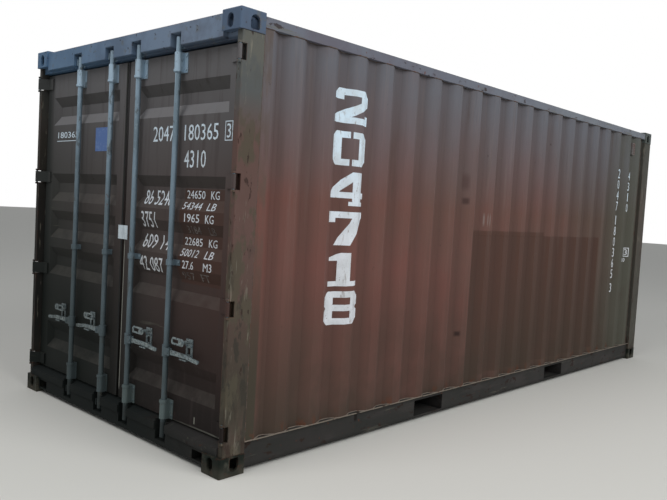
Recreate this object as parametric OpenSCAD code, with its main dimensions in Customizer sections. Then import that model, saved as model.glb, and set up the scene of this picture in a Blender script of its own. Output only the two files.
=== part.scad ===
// Twenty foot dry freight container with two hinged door leaves at its rear end.
// X runs across the container, Y along it and Z up. The doors face -Y and the
// origin is on the ground under the middle of the box.

/* [Container] */
// Length over the corner fittings
box_l = 6058; // [4800:1:9125]
// Width over the corner fittings
box_w = 2438; // [2400:1:2500]
// Height over the corner fittings
box_h = 2591; // [2500:1:2896]

/* [Corner fittings] */
// Length of a fitting along the container
fit_l = 178; // [174:1:182]
// Width of a fitting across the container
fit_w = 162; // [158:1:166]
// Height of a fitting
fit_h = 118; // [114:1:122]
// Width of the twist lock slot
slot_w = 63.5; // [60:0.5:66]
// Length of the twist lock slot
slot_l = 124.5; // [118:0.5:128]
// Distance of a slot centre from the side of the box
slot_in_x = 89.5; // [86:0.5:92]
// Distance of a slot centre from the end of the box
slot_in_y = 102.5; // [99:0.5:105]

/* [Walls] */
// Thickness of the corrugated sheets
sheet_t = 2; // [1.5:0.1:3]
// Pitch of the side wall corrugations
side_pitch = 278; // [270:1:290]
// Width of an outer flat of the side wall
side_crest = 72; // [66:1:78]
// Width of one slope of the side wall
side_slope = 68; // [60:1:70]
// Depth of the side wall corrugations
side_depth = 36; // [30:1:38]
// Distance from the rear plane to the first full outer flat
side_first = 411; // [400:1:420]
// Pitch of the front wall corrugations
front_pitch = 250; // [240:1:256]
// Width of an outer flat of the front wall
front_crest = 110; // [100:1:120]
// Depth of the front wall corrugations
front_depth = 45; // [36:1:46]
// Pitch of the roof corrugations
roof_pitch = 209; // [200:1:220]
// Depth of the roof corrugations
roof_depth = 20; // [14:1:22]

/* [Door leaves] */
// Depth of the leaf's outer face behind the rear plane
leaf_in = 75; // [74:1:78]
// Thickness of a leaf
leaf_t = 50; // [46:1:54]
// Gap between the leaf's edge and the post beside it
leaf_gap = 10; // [9:1:12]
// Half of the gap between the two leaves
leaf_mid = 12; // [10:1:14]
// Width of the leaf's upright tubes
stile_w = 100; // [90:1:104]
// Height of one pressed recess in the door panel
pan_h = 206; // [196:1:212]
// Depth of the pressed recesses
pan_depth = 36; // [30:1:38]

/* [Locking gear] */
// Outer radius of a locking bar
bar_r = 17; // [15:0.5:17.5]
// Distance of the inner bars from the middle of the box
bar_in = 165; // [160:1:175]
// Distance of the outer bars from the middle of the box
bar_out = 600; // [590:1:610]
// Depth of the bar axis behind the rear plane
bar_d = 40; // [39:0.5:42]
// Height of the handle hubs
hub_z = 617; // [600:1:640]
// Length of a handle from the bar axis to its tip
handle_l = 345; // [320:1:360]

/* [Hidden] */
$fn = 48;
e = 1;
hw = box_w / 2;
y0 = -box_l / 2;
y1 = box_l / 2;

// Planes of the frame, measured inwards from the side plane
skin_x = hw - 5;
skin_t = 6;
wall_x = hw - 8;
post_in = hw - 47;
rail_w = 60;
end_in = 12;
end_t = 6;
rail_z1 = box_h - 19;
rail_z0 = rail_z1 - rail_w;
sole_z0 = 20;
sole_z1 = 182;
sole_t = 4.5;
sole_w = 48;
web_x = wall_x + 1 - 22;
post_z0 = fit_h;
post_z1 = box_h - fit_h;
post_round = 5;

// Walls and openings of a corner fitting
cast_t = 16;
cast_in = 14;
cast_base = 28;
hole_w = 51;
hole_l = 79.5;

// Louvred ventilators
vent_w = 68;
vent_h = 127;
vent_t = 30;

// Flat of the side wall beside the rear post
side_flat = 67;

// Door opening
open_z0 = 182;
header_h = 160;
open_z1 = box_h - header_h;
leaf_x1 = post_in - leaf_gap;
leaf_z0 = open_z0 + 10;
leaf_z1 = open_z1 - 12;
leaf_mid_z = (leaf_z0 + leaf_z1) / 2;
lip = 5;
rail_h = 100;

// Hinges
post_d = 3;
post_face = 22;
channel_d = 66;
channel_t = 12;
lug_t = 12;
ear_r = 12;
pin_x = hw - 20;
pin_d = 19;
pin_r = 7;
knuckle_r = 12;
hinge_h = 80;
notch_h = 90;
notch_d = 55;
hinge_top = 236;
hinge_z = [248, 953, 1655, box_h - hinge_top];

// Pressed recesses of the door panel
pan_pitch = side_pitch;
pan_gap = 290;
pan_far = 2 * pan_pitch + pan_gap;
pan_z = [-pan_far, -pan_pitch, 0, pan_pitch, pan_far];
pan_x0 = leaf_mid + stile_w + 4;
pan_x1 = leaf_x1 - stile_w - 4;

// Locking gear
cam_z0 = 114;
cam_z1 = open_z1 + 40;
cam_h = 44;
cam_reach = 28;
cam_t = 16;
foot_z0 = cam_z0 - 36;
tip_z1 = open_z1 + 72;
pocket_hw = 55;
pocket_d = 82;
pocket_h = 94;
pocket_low = 58;
bar_mid = (bar_in + bar_out) / 2;
hub_h = 72;
hub_t = 7;
pivot_x = 46;
hold_x = 195;
hold_z = hub_z + 80;
hold_w = 64;
catch_l = 105;
bearing_h = 118;
guide_z = 1157;
guide_h = 34;

// Door header and sill
beam_d = 150;
beam_t = 5;
head_step = 44;
head_z = open_z1 + 16;
head_slope = 8;
sill_drop = 16;
ramp_d = 60;
apron_d = 22;
apron_z = 34;
rib_t = 6;
win_w = 116;
win_z = 42;
win_x = hw - fit_w - win_w / 2 - 10;

// Floor
fork_c = 1025;
fork_w = 360;
member_h = 122;
member_w = 45;
member_z = 30;
floor_z = member_z + member_h;
member_gap = 270;
board_t = 28;
shoe_w = 220;

// Colours seen on the box
c_side = "#6e5450";
c_door = "#575049";
c_rail = "#6c5f63";
c_post = "#77705f";
c_cast = "#6f7a84";
c_zinc = "#93a39f";
c_black = "#1e1f20";
c_wood = "#8a6a48";
c_roof = "#66514e";

// ---------- helpers ----------

function yr(d) = y0 + d;

// Extrudes a profile drawn as (x, z) along Y from 0 to len
module along_y(len) {
  rotate([90, 0, 0])
    translate([0, 0, -len])
      linear_extrude(len)
        children();
}

// Extrudes a profile drawn as (y, z) along X from 0 to len
module along_x(len) {
  rotate([90, 0, 90])
    linear_extrude(len)
      children();
}

module box(a, b) {
  translate(a)
    cube([b[0] - a[0], b[1] - a[1], b[2] - a[2]]);
}

// Cylinder along Y between two depths behind the rear plane
module rod_y(x, z, r, d0, d1) {
  translate([x, yr(d0), z])
    rotate([-90, 0, 0])
      cylinder(r = r, h = d1 - d0);
}

module side(s) {
  if (s > 0) {
    children();
  } else {
    mirror([1, 0, 0])
      children();
  }
}

module stadium(w, l) {
  square([l - w, w], center = true);
  for (s = [-1, 1])
    translate([s * (l - w) / 2, 0])
      circle(d = w);
}

module shield(w, h) {
  translate([0, -(h - w) / 2])
    circle(d = w);
  translate([-w / 2, -(h - w) / 2])
    square([w, h - w / 2 - 10]);
  translate([-w / 2 + 10, 0])
    square([w - 20, h / 2]);
  for (s = [-1, 1])
    translate([s * (w / 2 - 10), h / 2 - 10])
      circle(r = 10);
}

// What lies outside a rounded corner at the origin of the first quadrant
module corner_cut(r) {
  difference() {
    translate([-e, -e])
      square(r + e);
    translate([r, r])
      circle(r);
  }
}

module rounded_block(w, h, r) {
  difference() {
    square([w, h]);
    corner_cut(r);
  }
}

// Closed ended groove: a trapezoid prism each way, cut to what they share.
// It is drawn sunk into -Z with its mouth at z = 0, long side along X.
module groove(len, wid, slope_x, slope_y, depth, rise) {
  kx = slope_x / depth;
  ky = slope_y / depth;
  intersection() {
    translate([0, -wid, 0])
      along_y(2 * wid)
        polygon([
          [-len / 2 - kx * rise, rise], [len / 2 + kx * rise, rise],
          [len / 2 - slope_x, -depth], [-len / 2 + slope_x, -depth]
        ]);
    translate([-len, 0, 0])
      along_x(2 * len)
        polygon([
          [-wid / 2 - ky * rise, rise], [wid / 2 + ky * rise, rise],
          [wid / 2 - slope_y, -depth], [-wid / 2 + slope_y, -depth]
        ]);
  }
}

// ---------- corner fittings ----------

// One fitting with its outer corner at the origin, running inwards and up
module fitting() {
  difference() {
    intersection() {
      linear_extrude(fit_h)
        rounded_block(fit_w, fit_l, 14);
      along_y(fit_l)
        rounded_block(fit_w, fit_h, 8);
      along_x(fit_w)
        rounded_block(fit_l, fit_h, 8);
    }
    box([cast_t, cast_t, cast_base], [fit_w - cast_in, fit_l - cast_in, fit_h - cast_in]);
    translate([slot_in_x, slot_in_y, -e])
      linear_extrude(cast_base + 2 * e)
        rotate(90)
          stadium(slot_w, slot_l);
    translate([-e, slot_in_y, 0.57 * fit_h])
      along_x(cast_t + 2 * e)
        shield(slot_w, hole_l);
    translate([slot_in_x, -e, 0.57 * fit_h])
      along_y(cast_t + 2 * e)
        rotate(90)
          stadium(hole_w, hole_l);
  }
}

module at_corner(sx, sy, top) {
  translate([sx * hw, sy * box_l / 2, top ? box_h : 0])
    mirror([sx > 0 ? 1 : 0, 0, 0])
      mirror([0, sy > 0 ? 1 : 0, 0])
        mirror([0, 0, top ? 1 : 0])
          children();
}

module bottom_corner_fittings() {
  color(c_rail)
    for (sx = [-1, 1], sy = [-1, 1])
      at_corner(sx, sy, false)
        fitting();
}

module top_fitting(sx, sy) {
  color(c_cast)
    at_corner(sx, sy, true)
      fitting();
}

module top_fitting_rear_left() {
  top_fitting(-1, -1);
}

module top_fitting_rear_right() {
  top_fitting(1, -1);
}

module top_fitting_front_left() {
  top_fitting(-1, 1);
}

module top_fitting_front_right() {
  top_fitting(1, 1);
}

// ---------- posts ----------

module rear_post_section() {
  difference() {
    union() {
      translate([post_in, yr(post_face)])
        square([skin_x - post_in, skin_t]);
      translate([skin_x - skin_t, yr(post_face)])
        square([skin_t, fit_l - post_face]);
      translate([post_in, yr(post_face)])
        square([skin_t, channel_d - post_face]);
      translate([post_in, yr(channel_d)])
        square([channel_t, fit_l - channel_d]);
      translate([post_in, yr(channel_d)])
        square([skin_x - post_in, channel_t]);
      translate([post_in, yr(fit_l - channel_t)])
        square([skin_x - post_in, channel_t]);
    }
    translate([skin_x, yr(post_face)])
      mirror([1, 0])
        corner_cut(post_round);
  }
}

// Lug that reaches out of the post round a pin
module lug_section() {
  translate([post_in + skin_t, yr(post_face + skin_t)])
    square([skin_x - post_in - 2 * skin_t, notch_d - post_face - skin_t + 4]);
  translate([pin_x, yr(pin_d)])
    circle(r = ear_r);
  translate([pin_x - ear_r, yr(pin_d)])
    square([2 * ear_r, notch_d - pin_d]);
}

module rear_post() {
  difference() {
    union() {
      difference() {
        translate([0, 0, post_z0])
          linear_extrude(post_z1 - post_z0)
            rear_post_section();
        for (z = hinge_z)
          box([post_in - e, yr(0), z - notch_h / 2], [hw + e, yr(notch_d), z + notch_h / 2]);
      }
      // Lugs above and below each notch hold the pins
      for (z = hinge_z, s = [-1, 1])
        translate([0, 0, z + s * (notch_h + lug_t) / 2 - lug_t / 2])
          linear_extrude(lug_t)
            lug_section();
    }
    for (z = hinge_z)
      translate([pin_x, yr(pin_d), z - notch_h / 2 - lug_t])
        cylinder(r = pin_r, h = notch_h + 2 * lug_t);
  }
}

module rear_post_left() {
  color(c_post)
    side(-1)
      rear_post();
}

module rear_post_right() {
  color(c_post)
    rear_post();
}

module front_post() {
  lip_x = hw - fit_w;
  lip_d = front_depth + skin_t;
  translate([0, 0, post_z0])
    linear_extrude(post_z1 - post_z0)
      difference() {
        union() {
          translate([skin_x - skin_t, y1 - fit_l])
            square([skin_t, fit_l - post_d]);
          translate([lip_x, y1 - post_d - skin_t])
            square([skin_x - lip_x, skin_t]);
          translate([wall_x - side_depth - sheet_t, y1 - fit_l])
            square([skin_x - wall_x + side_depth + sheet_t, skin_t]);
          translate([lip_x, y1 - post_d - lip_d])
            square([skin_t, lip_d]);
        }
        translate([skin_x, y1 - post_d])
          mirror([1, 0])
            mirror([0, 1])
              corner_cut(post_round);
      }
}

module front_post_left() {
  color(c_post)
    side(-1)
      front_post();
}

module front_post_right() {
  color(c_post)
    front_post();
}

// ---------- door header and sill ----------

// Recess for the top cam of the bar at x
module header_pocket(x, grow) {
  box([x - pocket_hw - grow, yr(0), open_z1 - e],
      [x + pocket_hw + grow, yr(pocket_d + grow), open_z1 + pocket_h + grow]);
}

module header_section(grow) {
  polygon([
    [yr(head_step + grow), open_z1 + grow], [yr(head_step + grow), head_z - head_slope + grow],
    [yr(end_in + grow), head_z + grow], [yr(end_in + grow), rail_z1 - grow],
    [yr(beam_d - grow), rail_z1 - grow], [yr(beam_d - grow), open_z1 + grow]
  ]);
}

// Hollow beam with its lower edge set back all along
module door_header() {
  x1 = hw - fit_w;
  color(c_rail)
    difference() {
      union() {
        difference() {
          union() {
            translate([-x1, 0, 0])
              along_x(2 * x1)
                header_section(0);
            box([-post_in, yr(head_step), open_z1], [post_in, yr(beam_d), post_z1]);
          }
          translate([-x1 + beam_t, 0, 0])
            along_x(2 * (x1 - beam_t))
              header_section(beam_t);
        }
        for (x = [-bar_out, -bar_in, bar_in, bar_out])
          intersection() {
            translate([-x1, 0, 0])
              along_x(2 * x1)
                header_section(0);
            header_pocket(x, beam_t);
          }
      }
      for (x = [-bar_out, -bar_in, bar_in, bar_out])
        header_pocket(x, 0);
    }
}

module sill_pocket(x, grow) {
  box([x - pocket_hw - grow, yr(0), cam_z0 - pocket_low - grow],
      [x + pocket_hw + grow, yr(pocket_d + grow), open_z0 + e]);
}

module sill_section(grow) {
  polygon([
    [yr(end_in + grow), fit_h + grow], [yr(end_in + grow), open_z0 - sill_drop - grow],
    [yr(ramp_d), open_z0 - grow], [yr(beam_d - grow), open_z0 - grow], [yr(beam_d - grow), fit_h + grow]
  ]);
}

module sill_body() {
  x1 = hw - fit_w;
  // Upper beam with a sloped threshold
  difference() {
    translate([-post_in, 0, 0])
      along_x(2 * post_in)
        sill_section(0);
    translate([-post_in + beam_t, 0, 0])
      along_x(2 * (post_in - beam_t))
        sill_section(beam_t);
  }
  // Lower apron set back behind the beam, with a window beside each fitting
  difference() {
    box([-x1, yr(apron_d), apron_z], [x1, yr(apron_d + end_t), fit_h]);
    for (s = [-1, 1])
      box([s * win_x - win_w / 2, yr(apron_d - e), win_z], [s * win_x + win_w / 2, yr(apron_d + end_t + e), fit_h - sole_z0]);
  }
  box([-x1, yr(apron_d), apron_z - beam_t], [x1, yr(beam_d), apron_z]);
  box([-x1, yr(beam_d - end_t), apron_z], [x1, yr(beam_d), fit_h]);
  // Stiffeners of the apron between the recesses
  for (x = [-bar_mid, 0, bar_mid])
    box([x - rib_t / 2, yr(apron_d + end_t), apron_z], [x + rib_t / 2, yr(beam_d - end_t), fit_h]);
  for (s = [-1, 1])
    translate([s * (win_x - win_w / 2 - rib_t), 0, 0])
      box([-rib_t / 2, yr(apron_d + end_t), apron_z], [rib_t / 2, yr(beam_d - end_t), fit_h]);
}

module door_sill() {
  color(c_rail)
    difference() {
      union() {
        sill_body();
        for (x = [-bar_out, -bar_in, bar_in, bar_out])
          intersection() {
            union() {
              box([-hw, yr(apron_d), apron_z], [hw, yr(beam_d), open_z0]);
              box([-hw, yr(end_in), fit_h], [hw, yr(beam_d), open_z0 - sill_drop]);
            }
            sill_pocket(x, beam_t);
          }
      }
      for (x = [-bar_out, -bar_in, bar_in, bar_out])
        sill_pocket(x, 0);
    }
}

// A keeper is a back plate with a near ear and a far ear for the cam to turn between
module keeper(x, z) {
  h = cam_h / 2;
  translate([x, 0, 0]) {
    box([-44, yr(pocket_d - 8), z - h - 8], [52, yr(pocket_d), z + h + 8]);
    box([-26, yr(bar_d + bar_r + 1), z - h - 4], [-14, yr(pocket_d - 8), z + h + 4]);
    box([38, yr(bar_d - 6), z - h], [48, yr(pocket_d - 8), z + h]);
  }
}

module cam_keepers() {
  color(c_zinc)
    for (s = [-1, 1], x = [bar_in, bar_out], z = [cam_z0, cam_z1])
      side(s)
        keeper(x, z);
}

module hinge_pins() {
  color(c_zinc)
    for (s = [-1, 1], z = hinge_z)
      side(s)
        translate([pin_x, yr(pin_d), z - notch_h / 2 - lug_t])
          cylinder(r = pin_r, h = notch_h + 2 * lug_t);
}

// ---------- rails ----------

module top_side_rail() {
  t = 4;
  difference() {
    box([wall_x + 1 - rail_w, y0 + fit_l, rail_z0], [wall_x + 1, y1 - fit_l, rail_z1]);
    box([wall_x + 1 - rail_w + t, y0 + fit_l - e, rail_z0 + t], [wall_x + 1 - t, y1 - fit_l + e, rail_z1 - t]);
  }
}

module top_side_rail_left() {
  color(c_rail)
    side(-1)
      top_side_rail();
}

module top_side_rail_right() {
  color(c_rail)
    top_side_rail();
}

// Channel with its flanges inwards, cut through where the forks go in
module bottom_side_rail() {
  difference() {
    translate([0, y0 + fit_l, 0])
      along_y(box_l - 2 * fit_l)
        union() {
          translate([web_x - sole_t, sole_z0])
            square([sole_t, sole_z1 - sole_z0]);
          translate([wall_x + 1 - sole_w, sole_z0])
            square([web_x - wall_x - 1 + sole_w, sole_t]);
          translate([wall_x + 1 - sole_w, sole_z1 - sole_t])
            square([sole_w, sole_t]);
        }
    for (s = [-1, 1])
      translate([hw - sole_w / 2, s * fork_c, (apron_z + 2 + floor_z) / 2])
        cube([sole_w + 40, fork_w, floor_z - apron_z - 2], center = true);
  }
}

module bottom_side_rail_left() {
  color(c_rail)
    side(-1)
      bottom_side_rail();
}

module bottom_side_rail_right() {
  color(c_rail)
    bottom_side_rail();
}

module front_top_rail() {
  t = 4;
  x1 = hw - fit_w;
  color(c_rail)
    difference() {
      box([-x1, y1 - end_t - rail_w, rail_z0], [x1, y1 - end_t, rail_z1]);
      box([-x1 - e, y1 - end_t - rail_w + t, rail_z0 + t], [x1 + e, y1 - end_t - t, rail_z1 - t]);
    }
}

module front_bottom_rail() {
  t = 5;
  x1 = hw - fit_w;
  color(c_rail)
    difference() {
      box([-x1, y1 - end_t - rail_w, sole_z0], [x1, y1 - end_t, sole_z1]);
      box([-x1 - e, y1 - end_t - rail_w + t, sole_z0 + t], [x1 + e, y1 - end_t - t, sole_z1 - t]);
    }
}

// ---------- walls ----------

side_n = floor((box_l - side_first - side_crest - side_slope - fit_l - 20) / side_pitch) + 1;
side_end = box_l - fit_l;

// Outer line of the side wall as (distance from the rear plane, depth)
function side_line() = concat(
  [[fit_l, 0], [fit_l + side_flat, 0], [fit_l + side_flat + side_slope, side_depth]],
  [for (k = [0 : side_n - 1], j = [0 : 3])
    let (a = side_first + k * side_pitch)
    j == 0 ? [a - side_slope, side_depth]
    : j == 1 ? [a, 0]
    : j == 2 ? [a + side_crest, 0]
    : [a + side_crest + side_slope, side_depth]],
  [[side_end, side_depth]]
);

function reversed(p) = [for (i = [len(p) - 1 : -1 : 0]) p[i]];

module sheet_profile(line, t) {
  polygon(concat(line, [for (q = reversed(line)) [q[0], q[1] + t]]));
}

module side_wall() {
  translate([wall_x, y0, sole_z1])
    rotate([0, 0, 90])
      linear_extrude(rail_z0 - sole_z1)
        sheet_profile(side_line(), sheet_t);
}

module side_wall_left() {
  color(c_side)
    side(-1)
      side_wall();
}

module side_wall_right() {
  color(c_side)
    side_wall();
}

front_x = hw - fit_w;
front_n = floor((2 * front_x - front_crest) / front_pitch);
front_x0 = -(front_n * front_pitch + front_crest) / 2;
front_sl = 18;

function front_line() = concat(
  [[-front_x, 0]],
  [for (k = [0 : front_n - 1], j = [0 : 3])
    let (a = front_x0 + front_crest + k * front_pitch)
    j == 0 ? [a, 0]
    : j == 1 ? [a + front_sl, front_depth]
    : j == 2 ? [a + front_pitch - front_crest - front_sl, front_depth]
    : [a + front_pitch - front_crest, 0]],
  [[front_x, 0]]
);

module front_wall() {
  color(c_side)
    translate([0, y1 - post_d - skin_t, sole_z1])
      mirror([0, 1, 0])
        linear_extrude(rail_z0 - sole_z1)
          sheet_profile(front_line(), sheet_t);
}

// ---------- roof ----------

roof_y0 = y0 + fit_l + 122;
roof_y1 = y1 - fit_l - 72;
roof_n = floor((roof_y1 - roof_y0 - 60) / roof_pitch);
roof_edge = 85;
roof_open = 118;
roof_c0 = (roof_y0 + roof_y1) / 2 - (roof_n - 1) * roof_pitch / 2;

module roof_grooves(drop, rise) {
  for (k = [0 : roof_n - 1])
    translate([0, roof_c0 + k * roof_pitch, rail_z1 + sheet_t - drop])
      groove(2 * (hw - roof_edge), roof_open, 45, roof_open / 9, roof_depth, rise);
}

module roof_panel() {
  color(c_roof)
    difference() {
      union() {
        box([-wall_x + 5, roof_y0, rail_z1], [wall_x - 5, roof_y1, rail_z1 + sheet_t]);
        roof_grooves(sheet_t, 1);
      }
      roof_grooves(0, 3);
    }
}

module end_plate(y_out, y_in) {
  lo = min(y_out, y_in);
  hi = max(y_out, y_in);
  difference() {
    box([-wall_x + 5, lo, rail_z1], [wall_x - 5, hi, rail_z1 + 3]);
    for (sx = [-1, 1], sy = [-1, 1])
      translate([sx * (hw - fit_w / 2), sy * (box_l / 2 - fit_l / 2), rail_z1])
        cube([fit_w, fit_l, 20], center = true);
  }
}

module roof_end_plates() {
  color(c_rail) {
    end_plate(y0 + end_in + 2, roof_y0);
    end_plate(y1 - end_in + 4, roof_y1);
  }
}

// ---------- floor ----------

// Channel across the floor, web on the side given by s
module cross_member(y, s) {
  x1 = web_x - sole_t;
  t = 4;
  translate([0, y, 0])
    mirror([0, s < 0 ? 1 : 0, 0]) {
      box([-x1, 0, member_z], [x1, t, floor_z]);
      box([-x1, 0, member_z], [x1, member_w, member_z + t]);
      box([-x1, 0, floor_z - t], [x1, member_w, floor_z]);
    }
}

end_n = floor((box_l / 2 - fork_c - fork_w / 2 - 330) / member_gap);
mid_n = 5;

module floor_cross_members() {
  mid_gap = (2 * fork_c - fork_w - 2 * member_w) / (mid_n + 1);
  color(c_rail) {
    for (s = [-1, 1], k = [-1, 1])
      cross_member(s * fork_c + k * fork_w / 2, k);
    for (i = [1 : mid_n])
      cross_member(-fork_c + fork_w / 2 + member_w + i * mid_gap - member_w / 2, 1);
    for (s = [-1, 1], i = [1 : end_n])
      cross_member(s * (fork_c + fork_w / 2 + member_w + i * member_gap), s);
  }
}

module fork_pocket_plates() {
  x1 = web_x - sole_t;
  color(c_rail)
    for (s = [-1, 1]) {
      translate([0, s * fork_c, floor_z - 1.5])
        cube([2 * x1, fork_w, 3], center = true);
      for (k = [-1, 1])
        translate([k * (x1 - shoe_w / 2), s * fork_c, (sole_z0 + sole_t + member_z) / 2])
          cube([shoe_w, fork_w + 2 * member_w, member_z - sole_z0 - sole_t], center = true);
    }
}

module floor_boards() {
  bx = 2 * (wall_x - sole_w);
  ya = y0 + beam_d + 2;
  yb = y1 - end_t - rail_w - 2;
  nx = 4;
  ny = 3;
  gap = 3;
  color(c_wood)
    for (i = [0 : nx - 1], j = [0 : ny - 1])
      box([-bx / 2 + i * bx / nx + gap / 2, ya + j * (yb - ya) / ny + gap / 2, floor_z],
          [-bx / 2 + (i + 1) * bx / nx - gap / 2, ya + (j + 1) * (yb - ya) / ny - gap / 2, floor_z + board_t]);
}

// Small louvred ventilator in a trough of each side wall
module side_vents() {
  ya = y0 + side_first + (side_n - 2) * side_pitch + side_crest + side_slope + 1;
  xa = wall_x - side_depth;
  za = rail_z0 - vent_h - 71;
  color(c_zinc)
    for (s = [-1, 1])
      side(s)
        difference() {
          box([xa, ya, za], [xa + vent_t, ya + vent_w, za + vent_h]);
          for (i = [0 : 5])
            translate([0, 0, za + vent_h / 14 + i * vent_h / 6.7])
              box([xa + 0.8 * vent_t, ya + 8, 0], [xa + vent_t + e, ya + vent_w - 8, vent_h / 12.7]);
        }
}

// ---------- door leaves ----------

// Strap hinge: plate on the leaf, slanted strap and knuckle, seen from above.
// s runs from the pin towards the leaf's middle and o runs inwards.
module hinge_blade(z) {
  k = knuckle_r / sqrt(2);
  face = leaf_in - pin_d;
  translate([pin_x, yr(pin_d), z - hinge_h / 2])
    difference() {
      linear_extrude(hinge_h) {
        mirror([1, 0])
          polygon([
            [0, 0], [k, -k], [face - 12 + 2 * k, face - 12], [122, face - 12], [122, face], [face, face]
          ]);
        circle(r = knuckle_r);
      }
      translate([0, 0, -e])
        cylinder(r = pin_r + 0.3, h = hinge_h + 2 * e);
    }
}

module stile(x0, x1) {
  t = 3.2;
  difference() {
    box([x0, yr(leaf_in), leaf_z0], [x1, yr(leaf_in + leaf_t), leaf_z1]);
    box([x0 + t, yr(leaf_in + t), leaf_z0 - e], [x1 - t, yr(leaf_in + leaf_t - t), leaf_z1 + e]);
  }
}

module door_frame() {
  t = 4;
  xa = leaf_mid + stile_w;
  xb = leaf_x1 - stile_w;
  stile(leaf_mid, xa);
  stile(xb, leaf_x1);
  for (z = [leaf_z0, leaf_z1 - rail_h]) {
    box([xa, yr(leaf_in), z], [xb, yr(leaf_in + t), z + rail_h]);
    box([xa, yr(leaf_in), z], [xb, yr(leaf_in + leaf_t), z + t]);
    box([xa, yr(leaf_in), z + rail_h - t], [xb, yr(leaf_in + leaf_t), z + rail_h]);
  }
  for (z = hinge_z)
    hinge_blade(z);
}

module panel_pans(drop, rise) {
  for (z = pan_z)
    translate([(pan_x0 + pan_x1) / 2, yr(leaf_in) + drop, leaf_mid_z - 5 + z])
      rotate([90, 0, 0])
        groove(pan_x1 - pan_x0, pan_h, 45, side_slope, pan_depth, rise);
}

module door_panel() {
  xa = leaf_mid + stile_w;
  xb = leaf_x1 - stile_w;
  difference() {
    union() {
      box([xa, yr(leaf_in), leaf_z0 + rail_h], [xb, yr(leaf_in + sheet_t), leaf_z1 - rail_h]);
      panel_pans(sheet_t, 1);
    }
    panel_pans(0, 3);
  }
}

// Rubber seal: a lip round the leaf's edge and a flat flange behind it
module door_gasket() {
  d0 = leaf_in + 28;
  d1 = leaf_in + leaf_t;
  difference() {
    union() {
      box([leaf_mid - 8, yr(d0), leaf_z0 - lip], [leaf_x1 + lip, yr(d1), leaf_z1 + lip + 1]);
      box([leaf_mid - 4, yr(d1), leaf_z0 - 2], [leaf_x1 + 2, yr(d1 + 5), leaf_z1 + 2]);
    }
    box([leaf_mid, yr(d0 - e), leaf_z0], [leaf_x1, yr(d1), leaf_z1]);
    box([leaf_mid + 32, yr(d1 - e), leaf_z0 + 32], [leaf_x1 - 32, yr(d1 + 6), leaf_z1 - 32]);
  }
}

// Bearing of a bar: back plate, housing round the bar and a collar at one end
module guide(x, z, h, wide, collar) {
  r = bar_r + hub_t;
  plate = 6;
  difference() {
    union() {
      translate([x, yr(bar_d), z - h / 2])
        cylinder(r = r, h = h);
      box([x - r, yr(bar_d), z - h / 2], [x + r, yr(leaf_in), z + h / 2]);
      box([x - r - 4, yr(leaf_in - plate), z - h / 2], [x + r + wide, yr(leaf_in), z + h / 2]);
      if (collar != 0)
        translate([x, yr(bar_d), z + collar * (h / 2 - 10) - 7])
          cylinder(r = r + 4, h = 14);
    }
    translate([x, yr(bar_d), z - h / 2 - e])
      cylinder(r = bar_r + 0.4, h = h + 2 * e);
  }
}

// Bearings near both ends of each bar and one guide half way up
module bar_guides() {
  for (x = [bar_in, bar_out]) {
    guide(x, leaf_z1 - bearing_h / 2 - 6, bearing_h, 28, -1);
    guide(x, guide_z, guide_h, 34, 0);
    guide(x, leaf_z0 + bearing_h / 2 + 2, bearing_h, 28, 1);
  }
}

// Plate with a shelf under the handle and a stud for the catch above it
module handle_holders() {
  hh = hold_w / 2;
  for (x = [bar_in + hold_x, bar_out + hold_x]) {
    difference() {
      union() {
        box([x - hh, yr(leaf_in - 6), hub_z - hh], [x + hh, yr(leaf_in), hold_z + 18]);
        box([x - hh, yr(23), hub_z - 27], [x + hh, yr(leaf_in), hub_z - 20]);
      }
      box([x - 14, yr(leaf_in - 8), hub_z + 4], [x + 14, yr(leaf_in + e), hub_z + 44]);
    }
    rod_y(x, hold_z, 11, 18, leaf_in);
    rod_y(x, hold_z, 6, 11, 18);
    rod_y(x, hold_z, 10, 7, 11);
  }
}

module left_door_frame() {
  color(c_door)
    side(-1)
      door_frame();
}

module left_door_panel() {
  color(c_door)
    side(-1)
      door_panel();
}

module left_door_gasket() {
  color(c_black)
    side(-1)
      door_gasket();
}

module left_door_bar_guides() {
  color(c_zinc)
    side(-1)
      bar_guides();
}

module left_door_handle_holders() {
  color(c_zinc)
    side(-1)
      handle_holders();
}

module right_door_frame() {
  color(c_door)
    door_frame();
}

module right_door_panel() {
  color(c_door)
    door_panel();
}

module right_door_gasket() {
  color(c_black)
    door_gasket();
}

module right_door_bar_guides() {
  color(c_zinc)
    bar_guides();
}

module right_door_handle_holders() {
  color(c_zinc)
    handle_holders();
}

// ---------- locking bars, handles and catches ----------

module cam(x, z) {
  box([x - cam_t / 2, yr(bar_d), z - cam_h / 2], [x + cam_t / 2, yr(bar_d + cam_reach), z + cam_h / 2]);
}

module locking_bar(x) {
  wall = 3;
  difference() {
    union() {
      translate([x, yr(bar_d), foot_z0])
        cylinder(r = bar_r, h = tip_z1 - foot_z0);
      // Hub with two ears for the handle
      translate([x, yr(bar_d), hub_z - hub_h / 2])
        cylinder(r = bar_r + hub_t, h = hub_h);
      box([x, yr(18), hub_z - 22], [x + pivot_x + 16, yr(24), hub_z + 22]);
      box([x, yr(36), hub_z - 22], [x + pivot_x + 16, yr(42), hub_z + 22]);
      cam(x, cam_z0);
      cam(x, cam_z1);
    }
    translate([x, yr(bar_d), foot_z0 + 66])
      cylinder(r = bar_r - wall, h = tip_z1 - foot_z0 - 132);
    rod_y(x + pivot_x, hub_z, 6, 16, 44);
  }
  // Rivet through both ears
  rod_y(x + pivot_x, hub_z, 6, 14, 45);
  rod_y(x + pivot_x, hub_z, 10, 14, 18);
}

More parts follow.
